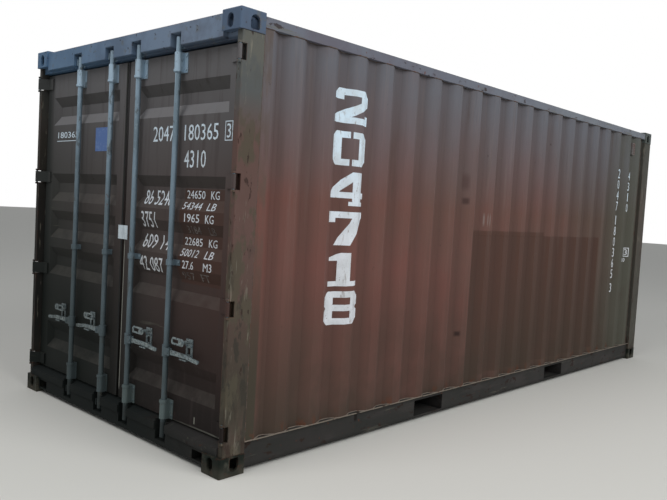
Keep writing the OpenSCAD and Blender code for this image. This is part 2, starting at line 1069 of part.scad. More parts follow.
// Flat lever on the rivet, with a grip that drops a little at its tip
module bar_handle(x) {
  a = pivot_x;
  b = handle_l;
  translate([x, yr(25), hub_z])
    difference() {
      along_y(10)
        union() {
          translate([a, 0])
            circle(r = 15);
          polygon([[a, -15], [a + 90, -13], [b - 110, -13], [b - 60, -20], [b - 11, -24],
                   [b - 11, -2], [b - 60, 2], [b - 110, 11], [a + 90, 13], [a, 15]]);
          translate([b - 11, -13])
            circle(r = 11);
        }
      translate([a, -e, 0])
        rotate([-90, 0, 0])
          cylinder(r = 6.3, h = 12 + e);
    }
}

// Flat loop that hangs on the stud and drops in front of the handle
module handle_catch(x) {
  translate([x + hold_x, yr(12.2), hold_z])
    difference() {
      along_y(4.6)
        difference() {
          union() {
            circle(r = 22);
            polygon([[0, -22], [0, 22], [-catch_l + 14, 22], [-catch_l, 8], [-catch_l, -14], [-catch_l + 8, -22]]);
          }
          translate([-catch_l + 16, -11])
            square([56, 22]);
        }
      translate([0, -e, 0])
        rotate([-90, 0, 0])
          cylinder(r = 6.5, h = 6 + e);
    }
}

module locking_bar_1() {
  color(c_zinc)
    side(-1)
      locking_bar(bar_out);
}

module locking_bar_2() {
  color(c_zinc)
    side(-1)
      locking_bar(bar_in);
}

module locking_bar_3() {
  color(c_zinc)
    locking_bar(bar_in);
}

module locking_bar_4() {
  color(c_zinc)
    locking_bar(bar_out);
}

module bar_handle_1() {
  color(c_zinc)
    side(-1)
      bar_handle(bar_out);
}

module bar_handle_2() {
  color(c_zinc)
    side(-1)
      bar_handle(bar_in);
}

module bar_handle_3() {
  color(c_zinc)
    bar_handle(bar_in);
}

module bar_handle_4() {
  color(c_zinc)
    bar_handle(bar_out);
}

module handle_catch_1() {
  color(c_zinc)
    side(-1)
      handle_catch(bar_out);
}

module handle_catch_2() {
  color(c_zinc)
    side(-1)
      handle_catch(bar_in);
}

module handle_catch_3() {
  color(c_zinc)
    handle_catch(bar_in);
}

module handle_catch_4() {
  color(c_zinc)
    handle_catch(bar_out);
}

bottom_corner_fittings();
top_fitting_rear_left();
top_fitting_rear_right();
top_fitting_front_left();
top_fitting_front_right();
rear_post_left();
rear_post_right();
front_post_left();
front_post_right();
door_header();
door_sill();
cam_keepers();
hinge_pins();
front_top_rail();
front_bottom_rail();
top_side_rail_left();
top_side_rail_right();
bottom_side_rail_left();
bottom_side_rail_right();
side_wall_left();
side_wall_right();
front_wall();
roof_panel();
roof_end_plates();
floor_cross_members();
fork_pocket_plates();
floor_boards();
side_vents();
left_door_frame();
left_door_panel();
left_door_gasket();
left_door_bar_guides();
left_door_handle_holders();
right_door_frame();
right_door_panel();
right_door_gasket();
right_door_bar_guides();
right_door_handle_holders();
locking_bar_1();
locking_bar_2();
locking_bar_3();
locking_bar_4();
bar_handle_1();
bar_handle_2();
bar_handle_3();
bar_handle_4();
handle_catch_1();
handle_catch_2();
handle_catch_3();
handle_catch_4();
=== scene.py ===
"""Paint, marks, welds and fixings of a twenty foot dry freight container, laid over its frame."""

import math

import bmesh
import bpy
from mathutils import Matrix, Vector


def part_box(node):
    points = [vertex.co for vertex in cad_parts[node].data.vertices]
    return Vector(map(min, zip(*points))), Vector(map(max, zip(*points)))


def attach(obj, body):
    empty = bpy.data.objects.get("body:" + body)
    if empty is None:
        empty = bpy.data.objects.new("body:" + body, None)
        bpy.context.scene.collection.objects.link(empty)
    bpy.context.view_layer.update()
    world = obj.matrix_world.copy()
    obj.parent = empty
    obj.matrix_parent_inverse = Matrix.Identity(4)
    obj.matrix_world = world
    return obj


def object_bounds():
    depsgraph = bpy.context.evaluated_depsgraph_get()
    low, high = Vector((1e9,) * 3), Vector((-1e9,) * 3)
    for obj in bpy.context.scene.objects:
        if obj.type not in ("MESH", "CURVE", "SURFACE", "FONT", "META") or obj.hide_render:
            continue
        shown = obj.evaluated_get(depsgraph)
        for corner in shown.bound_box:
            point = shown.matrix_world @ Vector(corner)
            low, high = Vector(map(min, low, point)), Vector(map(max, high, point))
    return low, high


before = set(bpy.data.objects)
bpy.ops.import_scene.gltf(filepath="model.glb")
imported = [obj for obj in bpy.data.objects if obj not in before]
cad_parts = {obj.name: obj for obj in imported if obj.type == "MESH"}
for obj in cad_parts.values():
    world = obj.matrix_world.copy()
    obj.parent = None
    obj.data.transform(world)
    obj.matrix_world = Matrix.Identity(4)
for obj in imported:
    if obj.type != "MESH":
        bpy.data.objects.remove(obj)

bl_info = {
    "name": "Dry Freight Container",
    "version": (1, 0, 0),
    "blender": (4, 5, 0),
    "location": "3D View > Sidebar > Container",
    "description": "Paints, marks, welds and bolts a twenty foot container",
    "category": "Add Mesh",
}

# ---------- places read from the frame, in metres ----------

CAD_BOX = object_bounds()
LOW = CAD_BOX[0]
REAR = LOW.y
WALL_LOW, WALL_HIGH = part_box("side_wall_right")
WALL_X, WALL_Z0, WALL_Z1 = WALL_HIGH.x, WALL_LOW.z, WALL_HIGH.z
WALL_START, WALL_END = WALL_LOW.y - REAR, WALL_HIGH.y - REAR
PANEL_LOW, PANEL_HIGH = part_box("right_door_panel")
LEAF_RAIL = 0.1
LEAF_Y, LEAF_Z0, LEAF_Z1 = PANEL_LOW.y, PANEL_LOW.z - LEAF_RAIL, PANEL_HIGH.z + LEAF_RAIL
END_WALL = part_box("front_wall")[1]
FLOOR_LOW, FLOOR_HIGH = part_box("floor_boards")

# Corrugation of the side walls: its edge and first crest from the rear plane, and its wave
SIDE_EDGE, SIDE_FIRST, SIDE_COUNT = 0.245, 0.411, 20
SIDE_PITCH, SIDE_CREST, SIDE_SLOPE, SIDE_DEPTH = 0.278, 0.072, 0.068, 0.036

# Corrugation of the closed end
END_PITCH, END_CREST, END_SLOPE, END_DEPTH = 0.250, 0.110, 0.018, 0.045

# Pressed recesses of the door leaves, around a height 5 mm below the leaf's middle
PAN_MID = (LEAF_Z0 + LEAF_Z1) / 2 - 0.005
PAN_Z = [PAN_MID + step for step in (-0.846, -0.278, 0.0, 0.278, 0.846)]
PAN_HALF, PAN_SLOPE, PAN_END, PAN_DEPTH = 0.103, 0.068, 0.045, 0.036
PAN_X0, PAN_X1 = 0.116, 1.058

# Locking gear: the bars and the handle holders from the middle, and the height of the hubs
BAR_X, HOLD_X, HUB_Z = (0.165, 0.600), 0.195, 0.617

SIDES = ((1, "right"), (-1, "left"))
MM = 1000


def colour(code):
    """Linear RGB of an sRGB hex colour; a colour of the panel is linear already."""
    if not isinstance(code, str):
        return code
    parts = [int(code[i : i + 2], 16) / 255 for i in (1, 3, 5)]
    return tuple(c / 12.92 if c <= 0.04045 else ((c + 0.055) / 1.055) ** 2.4 for c in parts)


# ---------- settings ----------


def paint(name, code, text):
    return bpy.props.FloatVectorProperty(
        name=name, description=text, subtype="COLOR", size=3, min=0, max=1, default=colour(code)
    )


def length(name, value, text):
    return bpy.props.FloatProperty(
        name=name, description=text, default=value, min=0.0005, max=1, unit="LENGTH"
    )


class ContainerColours(bpy.types.PropertyGroup):
    side: paint("Side Paint", "#67463f", "Enamel of the corrugated walls")
    faded: paint("Faded Paint", "#62646b", "Where sun has chalked the enamel")
    repaint: paint("Repaint", "#422a20", "Newer patches of enamel")
    door: paint("Door Paint", "#453e3c", "Enamel of the door leaves")
    rail: paint("Rail Paint", "#666a75", "Enamel of the upper rails")
    sole: paint("Lower Rail Paint", "#343231", "Enamel of the lower rails, sill and floor steel")
    post: paint("Post Paint", "#5b4540", "Enamel of the corner posts")
    worn: paint("Worn Paint", "#626157", "Scraped and dusty enamel")
    header: paint("Header Paint", "#708095", "Weathered enamel of the header")
    fitting: paint("Fitting Paint", "#4c5d73", "Weathered enamel of the top fittings")
    casting: paint("Casting Paint", "#171d19", "Worn enamel of the bottom fittings")
    roof: paint("Roof Paint", "#6b5450", "Enamel of the roof")
    rust: paint("Rust", "#5f3522", "Open rust")
    dark_rust: paint("Dark Rust", "#2e211c", "Old rust and grime")
    dust: paint("Dust", "#7d7669", "Dry road dust")
    zinc: paint("Zinc", "#7f94a4", "Weathered hot dip zinc")
    zinc_dark: paint("Dark Zinc", "#5f6f78", "Stained zinc")
    mark: paint("Mark", "#d8dce2", "White stencil paint")
    plate: paint("Plate", "#46659c", "Blue of the bare plate")
    label: paint("Label", "#cfdbe2", "Blank label")
    rubber: paint("Rubber", "#141516", "Door seal")
    wood: paint("Plywood", "#84633f", "Floor boards")
    vent: paint("Ventilator", "#6f7070", "Moulded ventilators")
    floor: paint("Floor", "#d9d8d2", "Studio floor")


class ContainerMarks(bpy.types.PropertyGroup):
    stack_w: length("Stack Width", 0.321, "Width of one big side numeral")
    stack_h: length("Stack Height", 0.215, "Height of one big side numeral")
    stack_d: length("Stack Distance", 0.792, "Distance of the big numerals from the rear plane")
    film: length("Paint Film", 0.0007, "Thickness of a mark")


class ContainerFixings(bpy.types.PropertyGroup):
    bolt_r: length("Bolt Radius", 0.009, "Radius of a bearing's bolt head")
    rivet_r: length("Rivet Radius", 0.005, "Radius of a seal strip's rivet")
    screw_r: length("Screw Radius", 0.007, "Radius of a floor screw's head")
    bead: length("Weld Width", 0.007, "Width of a weld bead")
    ring_r: length("Ring Radius", 0.028, "Radius of a lashing ring")
    rod_r: length("Rod Radius", 0.0055, "Radius of a lashing ring's rod")


GROUPS = {
    "container_colours": ContainerColours,
    "container_marks": ContainerMarks,
    "container_fixings": ContainerFixings,
}


def settings():
    """The panel's colours, marks and fixings."""
    return [getattr(bpy.context.scene, name) for name in GROUPS]


# ---------- materials ----------

# How far one seed step moves a noise, for cover and for relief
COVER_STEP = (1.37, 2.11, 0.73)
RELIEF_STEP = (3.1, 1.7, 2.3)

# Stretches of a noise; one that names none is even
EVEN = (1, 1, 1)
RUNS = (1, 1, 0.05)
LEVEL = (0.06, 0.06, 1)
DRAWN = (1, 1, 0.4)
BLOT = (1, 1, 0.5)
SCRAPE = (1, 0.07, 1)


def put(tree, kind, values=None, links=None, **options):
    """Adds a node, with its settings and what feeds it: sockets, or nodes by their first output."""
    made = tree.nodes.new(kind)
    for name, value in options.items():
        setattr(made, name, value)
    for socket, value in (values or {}).items():
        made.inputs[socket].default_value = value
    for socket, source in (links or {}).items():
        if isinstance(source, bpy.types.Node):
            source = source.outputs[0]
        if source is not None:
            tree.links.new(source, made.inputs[socket])
    return made


def pattern(tree, spot, parts):
    """One value from 0 to 1: the product of parts, each a kind and its numbers.

    noise: feature size in mm, low, high, seed and its stretch where it isn't even;
    x, y, z: low, high of the place in metres; across: low, high of the distance from the
    middle plane; facing: axis, low, high of the normal; edge: radius in mm, low, high of how
    sharply the surface turns."""
    total = None
    for kind, *v in parts:
        low, high = v[-2:]
        if kind == "noise":
            size, low, high, seed, stretch = (*v, EVEN)[:5]
            at = put(tree, "ShaderNodeMapping", {
                "Location": [seed * step for step in COVER_STEP],
                "Scale": [s * MM / size for s in stretch],
            }, {"Vector": spot})
            grain = {"Scale": 1.0, "Detail": 4.0, "Roughness": 0.62}
            value = put(tree, "ShaderNodeTexNoise", grain, {"Vector": at})
        elif kind == "edge":
            eased = put(tree, "ShaderNodeBevel", {"Radius": v[0] / MM}, samples=4)
            normal = put(tree, "ShaderNodeNewGeometry").outputs["Normal"]
            turned = put(
                tree, "ShaderNodeVectorMath", None, {0: eased, 1: normal}, operation="DOT_PRODUCT"
            )
            value = turned.outputs["Value"]
        else:
            source, axis = spot, kind
            if kind == "across":
                axis = "x"
            elif kind == "facing":
                source, axis = put(tree, "ShaderNodeNewGeometry").outputs["Normal"], v[0]
            value = put(tree, "ShaderNodeSeparateXYZ", None, {0: source}).outputs[axis.upper()]
            if kind == "across":
                value = put(tree, "ShaderNodeMath", None, {0: value}, operation="ABSOLUTE")
        limits = {"From Min": low, "From Max": high}
        value = put(tree, "ShaderNodeMapRange", limits, {"Value": value}, clamp=True)
        if total is not None:
            value = put(tree, "ShaderNodeMath", None, {0: total, 1: value}, operation="MULTIPLY")
        total = value
    return total


def finish(name, base, rough, coats, relief=(), metal=0.0, ease=0.0, shine=0.2):
    """A finish made of a base and coats over it, each (colour, roughness, strength, *parts).

    relief is (height in mm, feature size in mm, seed, and its stretch where it isn't even);
    ease rounds sharp edges, in mm."""
    made = bpy.data.materials.new(name)
    made.use_nodes = True
    tree = made.node_tree
    tree.nodes.clear()
    spot = put(tree, "ShaderNodeTexCoord").outputs["Object"]
    tint = gloss = height = normal = None
    for shade, sheen, strength, *parts in coats:
        cover = pattern(tree, spot, parts)
        cover = put(tree, "ShaderNodeMath", {1: strength}, {0: cover}, operation="MULTIPLY")
        tints = {6: (*colour(base), 1), 7: (*colour(shade), 1)}
        tint = put(tree, "ShaderNodeMix", tints, {0: cover, 6: tint}, data_type="RGBA").outputs[2]
        gloss = put(
            tree, "ShaderNodeMix", {2: rough, 3: sheen}, {0: cover, 2: gloss}, data_type="FLOAT"
        )
    for bump in relief:
        tall, size, seed, stretch = (*bump, EVEN)[:4]
        at = put(tree, "ShaderNodeMapping", {
            "Location": [seed * step for step in RELIEF_STEP],
            "Scale": [s * MM / size for s in stretch],
        }, {"Vector": spot})
        bumps = put(tree, "ShaderNodeTexNoise", {"Scale": 1.0, "Detail": 3.0}, {"Vector": at})
        raised = put(tree, "ShaderNodeMath", {1: tall / MM}, {0: bumps}, operation="MULTIPLY")
        if height is not None:
            raised = put(tree, "ShaderNodeMath", None, {0: height, 1: raised})
        height = raised
    if ease:
        normal = put(tree, "ShaderNodeBevel", {"Radius": ease / MM}, samples=4)
    if height is not None:
        fed = {"Height": height, "Normal": normal}
        normal = put(tree, "ShaderNodeBump", {"Strength": 1.0, "Distance": 1.0}, fed)
    shader = put(
        tree, "ShaderNodeBsdfPrincipled", {"Metallic": metal, "Specular IOR Level": shine},
        {"Base Color": tint, "Roughness": gloss, "Normal": normal},
    )
    put(tree, "ShaderNodeOutputMaterial", None, {"Surface": shader})
    return made


def make_finishes():
    """Every finish of the object, by name."""
    c = settings()[0]
    out = {}
    # Marine enamel on corrugated weathering steel: matt and chalky, greyer towards the top from
    # chalking and painted sky glare, darker in the troughs from dirt and painted shade, with runs
    # under the top rail, a newer repainted field and a dusty, rusty foot.
    out["side"] = finish("chalked_enamel_on_corrugated_steel", c.side, 0.62, [
        ("#6f423c", 0.6, 0.6, ("noise", 900, 0.42, 0.66, 3)),
        ("#57473f", 0.66, 0.6, ("noise", 1300, 0.45, 0.7, 9)),
        ("#45433b", 0.7, 0.85, ("y", -0.3, 2.4), ("x", 1.12, 1.15)),
        # Greyer towards the top: chalked enamel, and partly painted sky glare.
        (c.faded, 0.75, 0.95, ("z", 1.58, 2.42), ("noise", 1700, 0.1, 0.5, 4)),
        (c.repaint, 0.5, 0.75, ("x", 1.0, 1.05), ("y", -0.589, -0.581), ("y", 1.821, 1.813),
            ("z", 0.24, 0.246), ("z", 1.395, 1.388)),
        ("#442b20", 0.5, 0.75, ("x", 1.0, 1.05), ("y", -0.589, -0.581), ("y", 0.66, 0.65),
            ("z", 1.38, 1.386), ("z", 1.43, 1.422)),
        ("#453630", 0.7, 0.5, ("noise", 55, 0.52, 0.72, 5, RUNS), ("noise", 700, 0.4, 0.62, 6)),
        ("#7d716d", 0.75, 0.25, ("noise", 38, 0.55, 0.7, 7, RUNS), ("z", 0.9, 2.4)),
        # Darker towards the troughs: dirt held there, and partly painted shade.
        ("#3f302b", 0.72, 0.35, ("across", 1.203, 1.176)),
        ("#54483f", 0.7, 0.6, ("y", -2.776, -2.79), ("noise", 150, 0.4, 0.6, 10, BLOT)),
        ("#40362e", 0.85, 0.95, ("z", 1.15, 0.2), ("noise", 600, 0.15, 0.55, 8)),
        ("#3a372d", 0.74, 0.85, ("y", -2.776, -2.79), ("z", 1.3, 0.6)),
        ("#4d4f46", 0.75, 0.7, ("x", 1.12, 1.15), ("y", 1.85, 2.5), ("noise", 500, 0.2, 0.5, 16)),
        (c.dark_rust, 0.85, 0.7, ("noise", 24, 0.68, 0.72, 11, BLOT),
            ("noise", 500, 0.52, 0.62, 12)),
        (c.rust, 0.88, 0.6, ("z", 0.26, 0.18), ("noise", 70, 0.55, 0.62, 13, (1, 1, 0.6))),
        (c.worn, 0.7, 0.5, ("noise", 60, 0.7, 0.73, 14, (1, 0.08, 1)),
            ("noise", 700, 0.5, 0.6, 15)),
        # Darker spots and patches and three short pale scrapes, each at its place.
        *(
            (shade, 0.85, strength, ("x", 1.0, 1.05), ("y", y - wide, y - wide * 0.4),
                ("y", y + wide, y + wide * 0.4), ("z", z - tall, z - tall * 0.4),
                ("z", z + tall, z + tall * 0.4))
            for shade, strength, y, z, wide, tall in (
                ("#2a1d1b", 0.85, -0.705, 0.610, 0.034, 0.026),
                ("#3a2a28", 0.75, -0.705, 1.653, 0.040, 0.034),
                ("#43302e", 0.5, -0.717, 1.800, 0.045, 0.080),
                ("#8a7f7b", 0.5, -0.425, 1.515, 0.010, 0.060),
                ("#8a7f7b", 0.5, -0.389, 1.515, 0.010, 0.060),
                ("#8a7f7b", 0.5, -0.355, 1.515, 0.010, 0.060),
            )
        ),
    ], [(1.6, 420, 1), (0.2, 45, 2)])
    # The same enamel on the pressed leaves, with painted light and shade: greyer towards the top,
    # lighter on upward slopes, darker under them, towards the foot and over the left leaf; with a
    # newer patch under the table and a pale strip down the right leaf's free edge.
    out["door"] = finish("weathered_enamel_on_pressed_leaves", c.door, 0.58, [
        # Painted light: greyer towards the top.
        ("#656466", 0.7, 0.95, ("z", 1.45, 2.3), ("noise", 1100, 0.1, 0.45, 21)),
        ("#553b35", 0.55, 0.7, ("x", 0.2, 1.1), ("z", 2.0, 0.9)),
        # Painted shade: darker towards the foot.
        ("#191615", 0.66, 0.95, ("z", 1.35, 0.3), ("noise", 600, 0.05, 0.4, 22)),
        ("#3a3130", 0.6, 0.45, ("noise", 50, 0.54, 0.7, 23, RUNS)),
        # Painted shade over the left leaf, deepest low down and at its outer edge.
        ("#2b302e", 0.62, 0.7, ("x", -0.05, -1.1), ("z", 2.5, 1.6)),
        ("#2a2d2c", 0.62, 0.85, ("x", -1.04, -1.12)),
        # Painted shade: darker low down in the middle of both leaves.
        ("#121614", 0.66, 0.92, ("x", 0.4, -0.4), ("z", 1.5, 0.75)),
        (c.repaint, 0.5, 0.6, ("x", 0.625, 0.63), ("x", 1.06, 1.055), ("z", 1.035, 1.04),
            ("z", 1.61, 1.605)),
        # Painted light: upward slopes of the pressings lighter, as lit from the sky.
        ("#98989c", 0.8, 0.4, ("facing", "z", 0.15, 0.5), ("z", 1.75, 2.05)),
        # Painted shade: downward slopes of the pressings darker.
        ("#2f2e2c", 0.7, 0.5, ("facing", "z", -0.15, -0.4), ("z", 1.1, 1.7)),
        ("#77736c", 0.85, 0.14, ("facing", "z", 0.15, 0.5), ("noise", 120, 0.3, 0.6, 24)),
        (c.dark_rust, 0.85, 0.7, ("noise", 24, 0.68, 0.72, 25, BLOT),
            ("noise", 420, 0.5, 0.62, 26)),
        (c.worn, 0.7, 0.5, ("noise", 40, 0.69, 0.72, 27, LEVEL), ("noise", 500, 0.52, 0.62, 28)),
        ("#a5a59a", 0.8, 0.6, ("x", 0.862, 0.865), ("x", 0.875, 0.872), ("z", 0.216, 0.220),
            ("z", 0.262, 0.256)),
        ("#8b8b82", 0.85, 0.55,
            ("x", 0.60, 0.68), ("z", 0.205, 0.199), ("noise", 60, 0.36, 0.5, 19, LEVEL)),
        # A pale strip down the right leaf's free edge.
        ("#97978f", 0.6, 0.9, ("x", 0.0, 0.011), ("x", 0.021, 0.017), ("z", 0.24, 0.27),
            ("z", 1.27, 1.2), ("noise", 90, 0.3, 0.45, 29, RUNS)),
    ], [(1.2, 380, 4), (0.15, 45, 5)], shine=0.12)
    # Rolled upper rails in the same enamel, scraped and greyed by weather.
    out["rail"] = finish("scraped_enamel_on_rolled_steel", c.rail, 0.6, [
        ("#5f5b65", 0.65, 0.7, ("noise", 420, 0.46, 0.62, 31)),
        ("#7c8389", 0.7, 0.6, ("y", -0.9, 1.4), ("noise", 200, 0.3, 0.55, 30, (1, 0.3, 1))),
        (c.dust, 0.86, 0.7, ("facing", "z", 0.4, 0.8), ("noise", 90, 0.25, 0.6, 32)),
        (c.worn, 0.7, 0.6, ("noise", 60, 0.62, 0.67, 33, SCRAPE)),
        (c.dark_rust, 0.85, 0.8, ("noise", 55, 0.62, 0.67, 34, (1, 0.5, 1))),
        (c.rust, 0.88, 0.7, ("noise", 30, 0.65, 0.7, 35)),
        (c.dark_rust, 0.85, 0.6, ("edge", 5, 0.99, 0.9), ("noise", 45, 0.45, 0.6, 36)),
    ], [(0.8, 260, 7), (0.2, 30, 8)], ease=2.5)
    # Lower rails, sill and floor steel: dark, grimy enamel with a dusty lip under the wall, and
    # painted shade on the door sill.
    out["sole"] = finish("grimy_enamel_on_floor_steel", c.sole, 0.62, [
        ("#2b2d2b", 0.7, 0.7, ("noise", 500, 0.4, 0.62, 131)),
        ("#423e3d", 0.7, 0.5, ("noise", 90, 0.52, 0.64, 132, (1, 0.2, 1))),
        ("#857d72", 0.8, 0.85, ("across", 1.199, 1.203), ("z", 0.176, 0.178)),
        (c.worn, 0.75, 0.5, ("noise", 60, 0.64, 0.68, 133, SCRAPE)),
        ("#1b1715", 0.75, 0.9, ("x", 1.0, 1.05), ("y", -1.885, -1.875), ("y", -1.845, -1.853),
            ("z", 0.112, 0.130)),
        (c.dark_rust, 0.85, 0.8, ("noise", 50, 0.6, 0.66, 134, (1, 0.5, 1))),
        (c.rust, 0.88, 0.6, ("noise", 30, 0.66, 0.71, 135)),
        ("#1e1f1d", 0.9, 0.6, ("z", 0.05, 0.015)),
        # Painted shade on the door sill, deepest towards the left and low down.
        ("#0e1313", 0.75, 0.95, ("y", -2.84, -2.87), ("x", 1.0, 0.3)),
        ("#161a19", 0.75, 0.6, ("y", -2.84, -2.87), ("z", 0.19, 0.1)),
    ], [(0.8, 260, 23), (0.25, 30, 24)], ease=2.5, shine=0.1)
    # Corner posts take the knocks: grey green film above, scraped olive below, bare streaks and
    # rust along the arris, and a painted shadow over the left rear post.
    out["post"] = finish("knocked_enamel_on_post_steel", c.post, 0.62, [
        ("#56423c", 0.66, 0.6, ("noise", 300, 0.44, 0.62, 42, BLOT)),
        ("#505454", 0.74, 0.95, ("z", 1.9, 2.15), ("noise", 260, 0.15, 0.45, 41)),
        (c.worn, 0.74, 0.5, ("z", 1.9, 2.1), ("noise", 130, 0.5, 0.62, 49, DRAWN)),
        ("#38362d", 0.74, 0.9, ("z", 1.35, 0.5), ("noise", 260, 0.2, 0.48, 47, DRAWN)),
        ("#4b463a", 0.76, 0.8, ("noise", 150, 0.51, 0.56, 40, BLOT), ("z", 2.3, 1.9)),
        ("#2f2d27", 0.74, 0.75, ("noise", 90, 0.54, 0.59, 39, DRAWN), ("z", 1.5, 0.8)),
        # Painted shadow on the left rear post, deepest below mid height.
        ("#2a2825", 0.74, 0.8, ("x", -1.0, -1.12), ("y", 0.0, -1.0)),
        ("#101211", 0.8, 0.75, ("x", -1.0, -1.12), ("y", 0.0, -1.0), ("z", 2.1, 1.5)),
        ("#45443e", 0.76, 0.85,
            ("x", 0.9, 1.0), ("y", -2.0, 2.0), ("noise", 240, 0.1, 0.4, 38, DRAWN)),
        ("#817d70", 0.6, 0.45, ("noise", 24, 0.61, 0.67, 43, (1, 1, 0.12))),
        (c.dark_rust, 0.85, 0.8, ("noise", 40, 0.63, 0.67, 44, (1, 1, 0.35))),
        (c.dark_rust, 0.85, 0.8, ("z", 0.42, 0.3), ("noise", 60, 0.5, 0.58, 48, (1, 1, 0.3))),
        (c.rust, 0.88, 0.7, ("edge", 6, 0.985, 0.88), ("noise", 60, 0.45, 0.58, 45, DRAWN)),
        (c.dust, 0.85, 0.12, ("z", 0.5, 0.1), ("noise", 120, 0.35, 0.65, 46)),
    ], [(1.8, 170, 9, DRAWN), (0.3, 24, 10)], ease=3)
    # The header and the top castings, weathered to a bluish grey film, with painted shade under the
    # header's rounded lower edge.
    for key, name, base, seed in (
        ("header", "blue_grey_film_on_header", c.header, 50),
        ("fitting", "blue_grey_film_on_castings", c.fitting, 150),
    ):
        out[key] = finish(name, base, 0.6, [
            ("#4b4d58", 0.66, 0.55, ("noise", 300, 0.42, 0.62, seed + 1)),
            # Painted shade under the header's rounded lower edge.
            ("#2f3b4c", 0.6, 0.85, ("z", 2.453, 2.441)),
            ("#4b6f90", 0.62, 0.6, ("x", 0.6, -0.7)),
            ("#4a504c", 0.7, 0.95, ("y", -2.0, 0.0), ("noise", 300, 0.1, 0.45, seed + 5)),
            (c.worn, 0.75, 0.4, ("noise", 60, 0.6, 0.67, seed + 2)),
            (c.dark_rust, 0.85, 0.8, ("noise", 34, 0.64, 0.68, seed + 3)),
            (c.rust, 0.88, 0.5, ("edge", 6, 0.985, 0.9), ("noise", 36, 0.5, 0.62, seed + 4)),
        ], [(0.7, 60, 11), (0.3, 16, 12)], ease=6)
    out["casting"] = finish("knocked_enamel_on_cast_steel", c.casting, 0.66, [
        (c.worn, 0.75, 0.35, ("noise", 70, 0.54, 0.66, 61)),
        ("#20231f", 0.8, 0.7, ("noise", 120, 0.45, 0.6, 62)),
        (c.dark_rust, 0.85, 0.85, ("noise", 38, 0.58, 0.64, 63)),
        (c.rust, 0.88, 0.6, ("edge", 7, 0.985, 0.9), ("noise", 36, 0.46, 0.6, 64)),
        (c.dust, 0.85, 0.25, ("z", 0.09, 0.0), ("noise", 90, 0.3, 0.6, 65)),
    ], [(0.9, 50, 13), (0.4, 12, 14)], ease=7, shine=0.1)
    # The roof weathers most: chalked enamel with dust and rust held in the pressings.
    out["roof"] = finish("chalked_enamel_on_roof_sheet", c.roof, 0.72, [
        (c.faded, 0.8, 0.8, ("noise", 800, 0.35, 0.62, 71)),
        (c.dust, 0.88, 0.7, ("z", 2.572, 2.556), ("noise", 200, 0.3, 0.6, 72)),
        (c.rust, 0.88, 0.8, ("noise", 90, 0.6, 0.66, 73, (1, 0.6, 1))),
        (c.dark_rust, 0.88, 0.8, ("noise", 34, 0.65, 0.7, 74)),
    ], [(2.2, 480, 15), (0.3, 40, 16)])
    # Hot dip zinc on the locking gear, dull, patchy and stained, with painted shade lower down and
    # towards the left leaf, a painted highlight near the top and painted light on the upper
    # bearings.
    for key, name, extra in (
        ("zinc", "weathered_galvanised_steel", [
            # Painted highlight: a lighter strip on faces turned straight out from the doors, near
            # the top.
            ("#a9c0d2", 0.5, 0.6,
                ("z", 2.12, 2.28), ("z", 2.47, 2.41), ("facing", "y", -0.97, -0.99)),
            ("#1d2220", 0.75, 0.75, ("z", 0.2, 0.17))]),
        ("bearing", "galvanised_bearing_plates", [
            # Painted light: the upper bearing plates lighter, against the header's shade.
            ("#a9c0d2", 0.5, 0.55, ("z", 2.1, 2.25)),
            ("#75847e", 0.6, 0.3, ("z", 0.5, 0.4), ("x", -0.2, 0.3))]),
    ):
        out[key] = finish(name, c.zinc, 0.55, [
            (c.zinc_dark, 0.62, 0.6, ("noise", 110, 0.45, 0.62, 81, DRAWN)),
            ("#97a8b2", 0.5, 0.4, ("noise", 24, 0.57, 0.66, 82)),
            # Painted shade: darker towards the foot, and more so towards the left leaf.
            ("#3c4646", 0.7, 0.85, ("z", 2.1, 0.45)),
            ("#323b3b", 0.7, 0.6, ("x", 0.35, -0.65), ("z", 2.2, 1.0)),
            *extra,
            ("#45443f", 0.75, 0.6, ("noise", 45, 0.6, 0.66, 83, DRAWN)),
            (c.rust, 0.85, 0.6, ("noise", 20, 0.65, 0.7, 84), ("noise", 300, 0.48, 0.6, 85)),
        ], [(0.08, 9, 17), (0.05, 60, 18)], metal=0.45, ease=2, shine=0.5)
    # The same zinc where hands and latches rub it bright, with painted shade towards the left leaf.
    out["grip"] = finish("hand_rubbed_galvanised_steel", "#7f8a8c", 0.5, [
        (c.zinc_dark, 0.62, 0.5, ("noise", 40, 0.42, 0.62, 86)),
        # Painted shade: darker towards the left leaf.
        ("#3a4343", 0.7, 0.5, ("x", 0.2, -0.65)),
        ("#2f3231", 0.75, 0.75, ("noise", 16, 0.5, 0.6, 87)),
        ("#a9b2b0", 0.45, 0.6, ("noise", 12, 0.56, 0.64, 88)),
    ], [(0.1, 8, 26)], metal=0.45, ease=2, shine=0.5)
    # Extruded rubber seal, dusty on its lips.
    out["rubber"] = finish("dusty_extruded_rubber", c.rubber, 0.7, [
        ("#262622", 0.85, 0.7, ("noise", 120, 0.42, 0.62, 91)),
        ("#57534b", 0.9, 0.5, ("facing", "z", 0.3, 0.8), ("noise", 40, 0.35, 0.6, 92)),
    ], [(0.15, 7, 19)])
    # Varnished plywood: long grain along the box, scuffed by pallets.
    out["wood"] = finish("scuffed_floor_plywood", c.wood, 0.6, [
        ("#6b4c2e", 0.6, 0.8, ("noise", 14, 0.42, 0.62, 101, (1, 0.03, 1))),
        ("#9c8059", 0.66, 0.5, ("noise", 40, 0.5, 0.66, 102, (1, 0.05, 1))),
        ("#4b3a2a", 0.75, 0.6, ("noise", 260, 0.48, 0.66, 103, (1, 0.4, 1))),
    ], [(0.3, 10, 20, (1, 0.04, 1))])
    # Grey moulded ABS of the ventilators, chalked outdoors.
    out["vent"] = finish("chalked_moulded_abs", c.vent, 0.6, [
        ("#6c6762", 0.7, 0.6, ("noise", 60, 0.45, 0.62, 111, RUNS)),
        (c.side, 0.7, 0.55, ("noise", 200, 0.42, 0.6, 112)),
    ], [(0.1, 8, 21)], ease=1.5)
